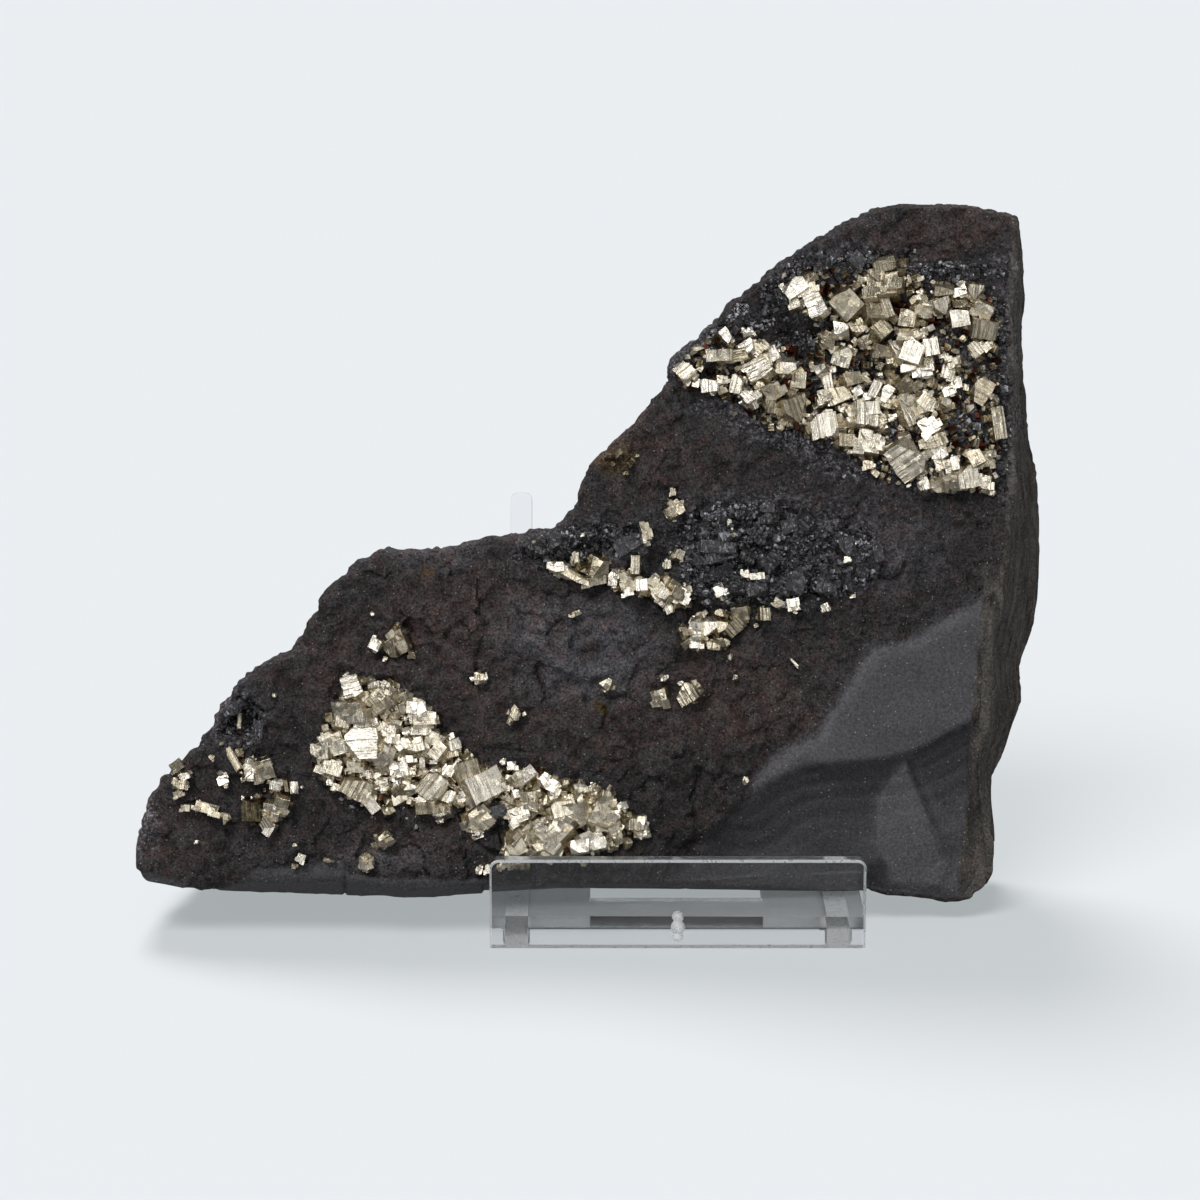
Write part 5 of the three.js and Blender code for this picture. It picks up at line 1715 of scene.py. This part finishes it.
def with_specks_and_painted_glints(tree, place, colour):
    """Pale discs in the half of the cells that a random number picks, larger or smaller:
    partly mineral specks and partly painted glints.
    """
    cells = add_node(tree, "ShaderNodeTexVoronoi")
    feed(tree, cells, {"Vector": place, "Scale": SPECK_SCALE})
    chance = add_node(tree, "ShaderNodeSeparateColor")
    feed(tree, chance, {0: cells.outputs["Color"]})
    reach = range_node(tree, chance.outputs[0], (0.5, 1.0), (0.0, 0.2))
    inside = math_node(tree, "LESS_THAN", cells.outputs["Distance"], reach)
    share = math_node(tree, "MULTIPLY", inside, SPECK_STRENGTH)
    return mix_colours(tree, share, colour, SPECK_AND_GLINT_COLOUR)


print("the cells of the pale specks are", round(1 / SPECK_SCALE / MM, 2), "mm wide")

# %% [markdown]
# The material puts the layers together, and adds a coarse and a fine bump, weaker where
# the stone is glassy. Rock is dull, so its mirror share is low and its roughness high.

# %% Stone material
ROCK_MIRROR = 0.1
SMOOTH_UP_TO = math.radians(30)


def stone_material():
    material, tree, shader = new_material("dark_rock")
    place = add_node(tree, "ShaderNodeTexCoord").outputs["Object"]
    glassy = point_value(tree, "glassy")
    lumps = noise_node(tree, place, LUMPS_SCALE, 3, 0.6)
    grain = noise_node(tree, place, GRAIN_SCALE, 3, 0.6)
    light = grain_mottle_and_painted_relief_shade(tree, glassy, lumps, grain)
    colour = mix_colours(tree, 1.0, point_value(tree, "tint", "Color"), light, "MULTIPLY")
    colour = with_stain(tree, place, glassy, colour)
    colour = with_specks_and_painted_glints(tree, place, with_dust(tree, place, colour))
    strength = range_node(tree, glassy, (0, 1), (1.0, 0.25))
    coarse = bump_node(tree, lumps, strength, 0.7 * MM)
    feed(tree, shader, {"Base Color": colour, "Specular IOR Level": ROCK_MIRROR,
                        "Roughness": range_node(tree, glassy, (0, 1), (0.6, 0.5)),
                        "Normal": bump_node(tree, grain, strength, 0.45 * MM, coarse)})
    return material


stone.data.materials.append(stone_material())
make_active(stone)
bpy.ops.object.shade_smooth_by_angle(angle=SMOOTH_UP_TO)
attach(stone, "root")
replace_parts(stone, "matrix")
print("rock:", len(stone.data.materials[0].node_tree.nodes), "nodes")

# %% [markdown]
# The stand is one moulding of clear plastic. Its CAD solid has the right shape, but its
# edges are knife sharp, and sharp edges catch no light. A copy loses its plain nub to a
# straight cut, gets its flat faces joined again, round tops on the prongs and a small
# bevel along the edges of the lip and the prongs, which then shows as a thin line.

# %% Clear stand: its shape
EDGE_ROUND = 0.36 * MM
PRONG_WEAR = 0.3 * MM
PRONG_ROUND = 1.1 * MM
PRONG_TOP_HEIGHT = 0.9
STUB = 0.05 * MM
LIP_THICK = 2.5 * MM
LIP_HEIGHT = 14.8 * MM
OFF_FLOOR = 1 * MM
SAME_FLAT = math.radians(1)

stand = copy_of_node("stand", "clear_stand")
edit(stand)
bpy.ops.mesh.bisect(plane_co=(0, LIP_Y - STUB, 0), plane_no=(0, -1, 0), use_fill=True,
                    clear_outer=True)
edit(stand)
bpy.ops.mesh.dissolve_limited(angle_limit=SAME_FLAT)


def is_prong_corner(start, end):
    """An edge across the top of a prong, from its front to its back."""
    high = min(start.z, end.z) > PRONG_TOP_HEIGHT * STAND_HIGH.z
    along = (end - start).normalized()
    return high and abs(along.dot(OUTWARD)) > 0.9


def is_worn_edge(start, end):
    """An edge of the lip that is off the floor."""
    on_lip = max(start.y, end.y) < LIP_Y + LIP_THICK + STUB
    return on_lip and max(start.z, end.z) > OFF_FLOOR


def is_prong_edge(start, end):
    """An edge that reaches above the lip, which only those of the prongs do."""
    return max(start.z, end.z) > LIP_HEIGHT + OFF_FLOOR


select_edges(stand, is_worn_edge)
bpy.ops.mesh.bevel(offset=EDGE_ROUND, segments=2)
select_edges(stand, is_prong_corner)
bpy.ops.mesh.bevel(offset=PRONG_ROUND, segments=3)
select_edges(stand, is_prong_edge)
bpy.ops.mesh.bevel(offset=PRONG_WEAR, segments=1, clamp_overlap=True)
bpy.ops.object.mode_set(mode="OBJECT")
print("stand:", len(stand.data.polygons), "faces")

# %% [markdown]
# Where the plastic was fed into the mould, a small cloudy nub was left on the lip. It is
# three soft lumps on each other, each a sphere pressed a little and shaken.

# %% Clear stand: the nub of the mould
NUB_LUMPS = [(5.6, 0.95, 0.9), (3.9, 1.15, 1.1), (2.3, 0.9, 0.8)]
NUB_SHAKE = 0.06 * MM
NUB_FORWARD = 0.7


def add_nub():
    """Each lump has a height, a radius in mm, and how much it is stretched forward."""
    lumps = []
    for number, (up, radius, long) in enumerate(NUB_LUMPS):
        deselect_all()
        bpy.ops.mesh.primitive_uv_sphere_add(segments=20, ring_count=12, radius=radius * MM)
        lump = bpy.context.object
        lump.scale = (1, long, 1)
        lump.location = (STAND_MIDDLE_X, LIP_Y - NUB_FORWARD * radius * MM, up * MM)
        bpy.ops.object.transform_apply(location=True, scale=True)
        bpy.ops.object.mode_set(mode="EDIT")
        bpy.ops.transform.vertex_random(offset=NUB_SHAKE, uniform=0.2, seed=number)
        bpy.ops.object.mode_set(mode="OBJECT")
        lumps.append(lump)
    deselect_all()
    for lump in lumps:
        lump.select_set(True)
    bpy.context.view_layer.objects.active = lumps[0]
    bpy.ops.object.join()
    bpy.ops.object.shade_smooth()
    nub = bpy.context.object
    nub.name = "mould_nub"
    return nub


nub = add_nub()
print("nub:", len(nub.data.polygons), "faces")

# %% [markdown]
# Clear acrylic is a plain transmitting shader with an index of refraction of 1.49. Seen
# at a slant its edges look grey, so the colour is darker at middle angles: painted shade,
# which stands in for the dark edges that refraction and reflection give. Where the
# plastic is rough it scatters the light and looks white or cloudy, so a second finish
# has less transmission, more roughness and small lumps.

# %% Clear stand: its materials
ACRYLIC_IOR = 1.49
CLEAR = (0.96, 0.965, 0.97)
THICK = (0.74, 0.75, 0.77)
# Grey for slanted views of the plastic: painted shade.
SLANT_PAINTED_SHADE = (0.38, 0.39, 0.40)
GRAZING = (0.95, 0.96, 0.96)
MIRROR_TINT = (0.4, 0.4, 0.4, 1)
CLOUD_SCALE = 1200


def clear_material(name, face_on):
    """Clear acrylic; face_on is its colour where it is looked at squarely."""
    material, tree, shader = new_material(name)
    slant = add_node(tree, "ShaderNodeLayerWeight")
    feed(tree, slant, {"Blend": 0.5})
    stops = [(0.08, face_on), (0.14, SLANT_PAINTED_SHADE), (0.62, SLANT_PAINTED_SHADE), (0.74, GRAZING)]
    feed(tree, shader, {"Base Color": ramp_node(tree, slant.outputs["Facing"], stops),
                        "Transmission Weight": 1.0, "IOR": ACRYLIC_IOR,
                        "Specular Tint": MIRROR_TINT, "Roughness": 0.0})
    return material


def cloudy_material(name, clearness, roughest, lumpiness, shade):
    """Rough acrylic; shade is its palest colour, from 0 to 1."""
    material, tree, shader = new_material(name)
    place = add_node(tree, "ShaderNodeTexCoord").outputs["Object"]
    cloud = noise_node(tree, place, CLOUD_SCALE, 3, 0.6)
    stops = [(0.3, (0.74 * shade, 0.76 * shade, 0.77 * shade)), (0.7, (shade, shade, shade))]
    rough = range_node(tree, cloud, (0.3, 0.7), (0.4 * roughest, roughest))
    feed(tree, shader, {"Base Color": ramp_node(tree, cloud, stops), "IOR": ACRYLIC_IOR,
                        "Transmission Weight": clearness, "Roughness": rough,
                        "Normal": bump_node(tree, cloud, lumpiness, 0.1 * MM)})
    return material


CLOUDY = cloudy_material("cloudy_acrylic", 0.6, 0.5, 0.6, 0.97)
FINISHES = [
    clear_material("clear_acrylic", CLEAR),
    CLOUDY,
    cloudy_material("hazy_acrylic", 0.88, 0.25, 0.06, 0.68),
    clear_material("thick_acrylic", THICK),
]
print("plastic:", [finish.name for finish in FINISHES])

# %% [markdown]
# Each face of the stand gets its finish by where it is and which way it looks. The
# rounded edges of the lip, the underside and the nub are cloudy. The level faces are only
# a little hazy, as if they were rubbed. The lip is thick, so its broad front face takes a
# little light away. The rest is plainly clear.

# %% Clear stand: which face has which finish
FULLY = 0.95
ROUNDED_FROM = 0.2
ROUNDED_ABOVE = 0.35 * LIP_HEIGHT
CLOUDY_FACE, HAZY_FACE, THICK_FACE = 1, 2, 3
HAIR = 0.1 * MM


def finish_of(face):
    """The number of a face's finish; 0 is clear."""
    forward, upward = abs(face.normal.y), abs(face.normal.z)
    on_lip = face.center.y < LIP_Y + LIP_THICK
    rounded = ROUNDED_FROM < forward < FULLY and face.center.z > ROUNDED_ABOVE
    underside = face.center.z < HAIR
    if underside or (on_lip and rounded):
        return CLOUDY_FACE
    if upward > FULLY and face.center.z < LIP_HEIGHT + HAIR:
        return HAZY_FACE
    return THICK_FACE if on_lip and forward >= FULLY else 0


for finish in FINISHES:
    stand.data.materials.append(finish)
for face in stand.data.polygons:
    face.material_index = finish_of(face)
nub.data.materials.append(CLOUDY)
for piece in (stand, nub):
    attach(piece, "root")
    piece.visible_shadow = False
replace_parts(stand, "stand")
for number, finish in enumerate(FINISHES):
    print(finish.name, sum(f.material_index == number for f in stand.data.polygons), "faces")
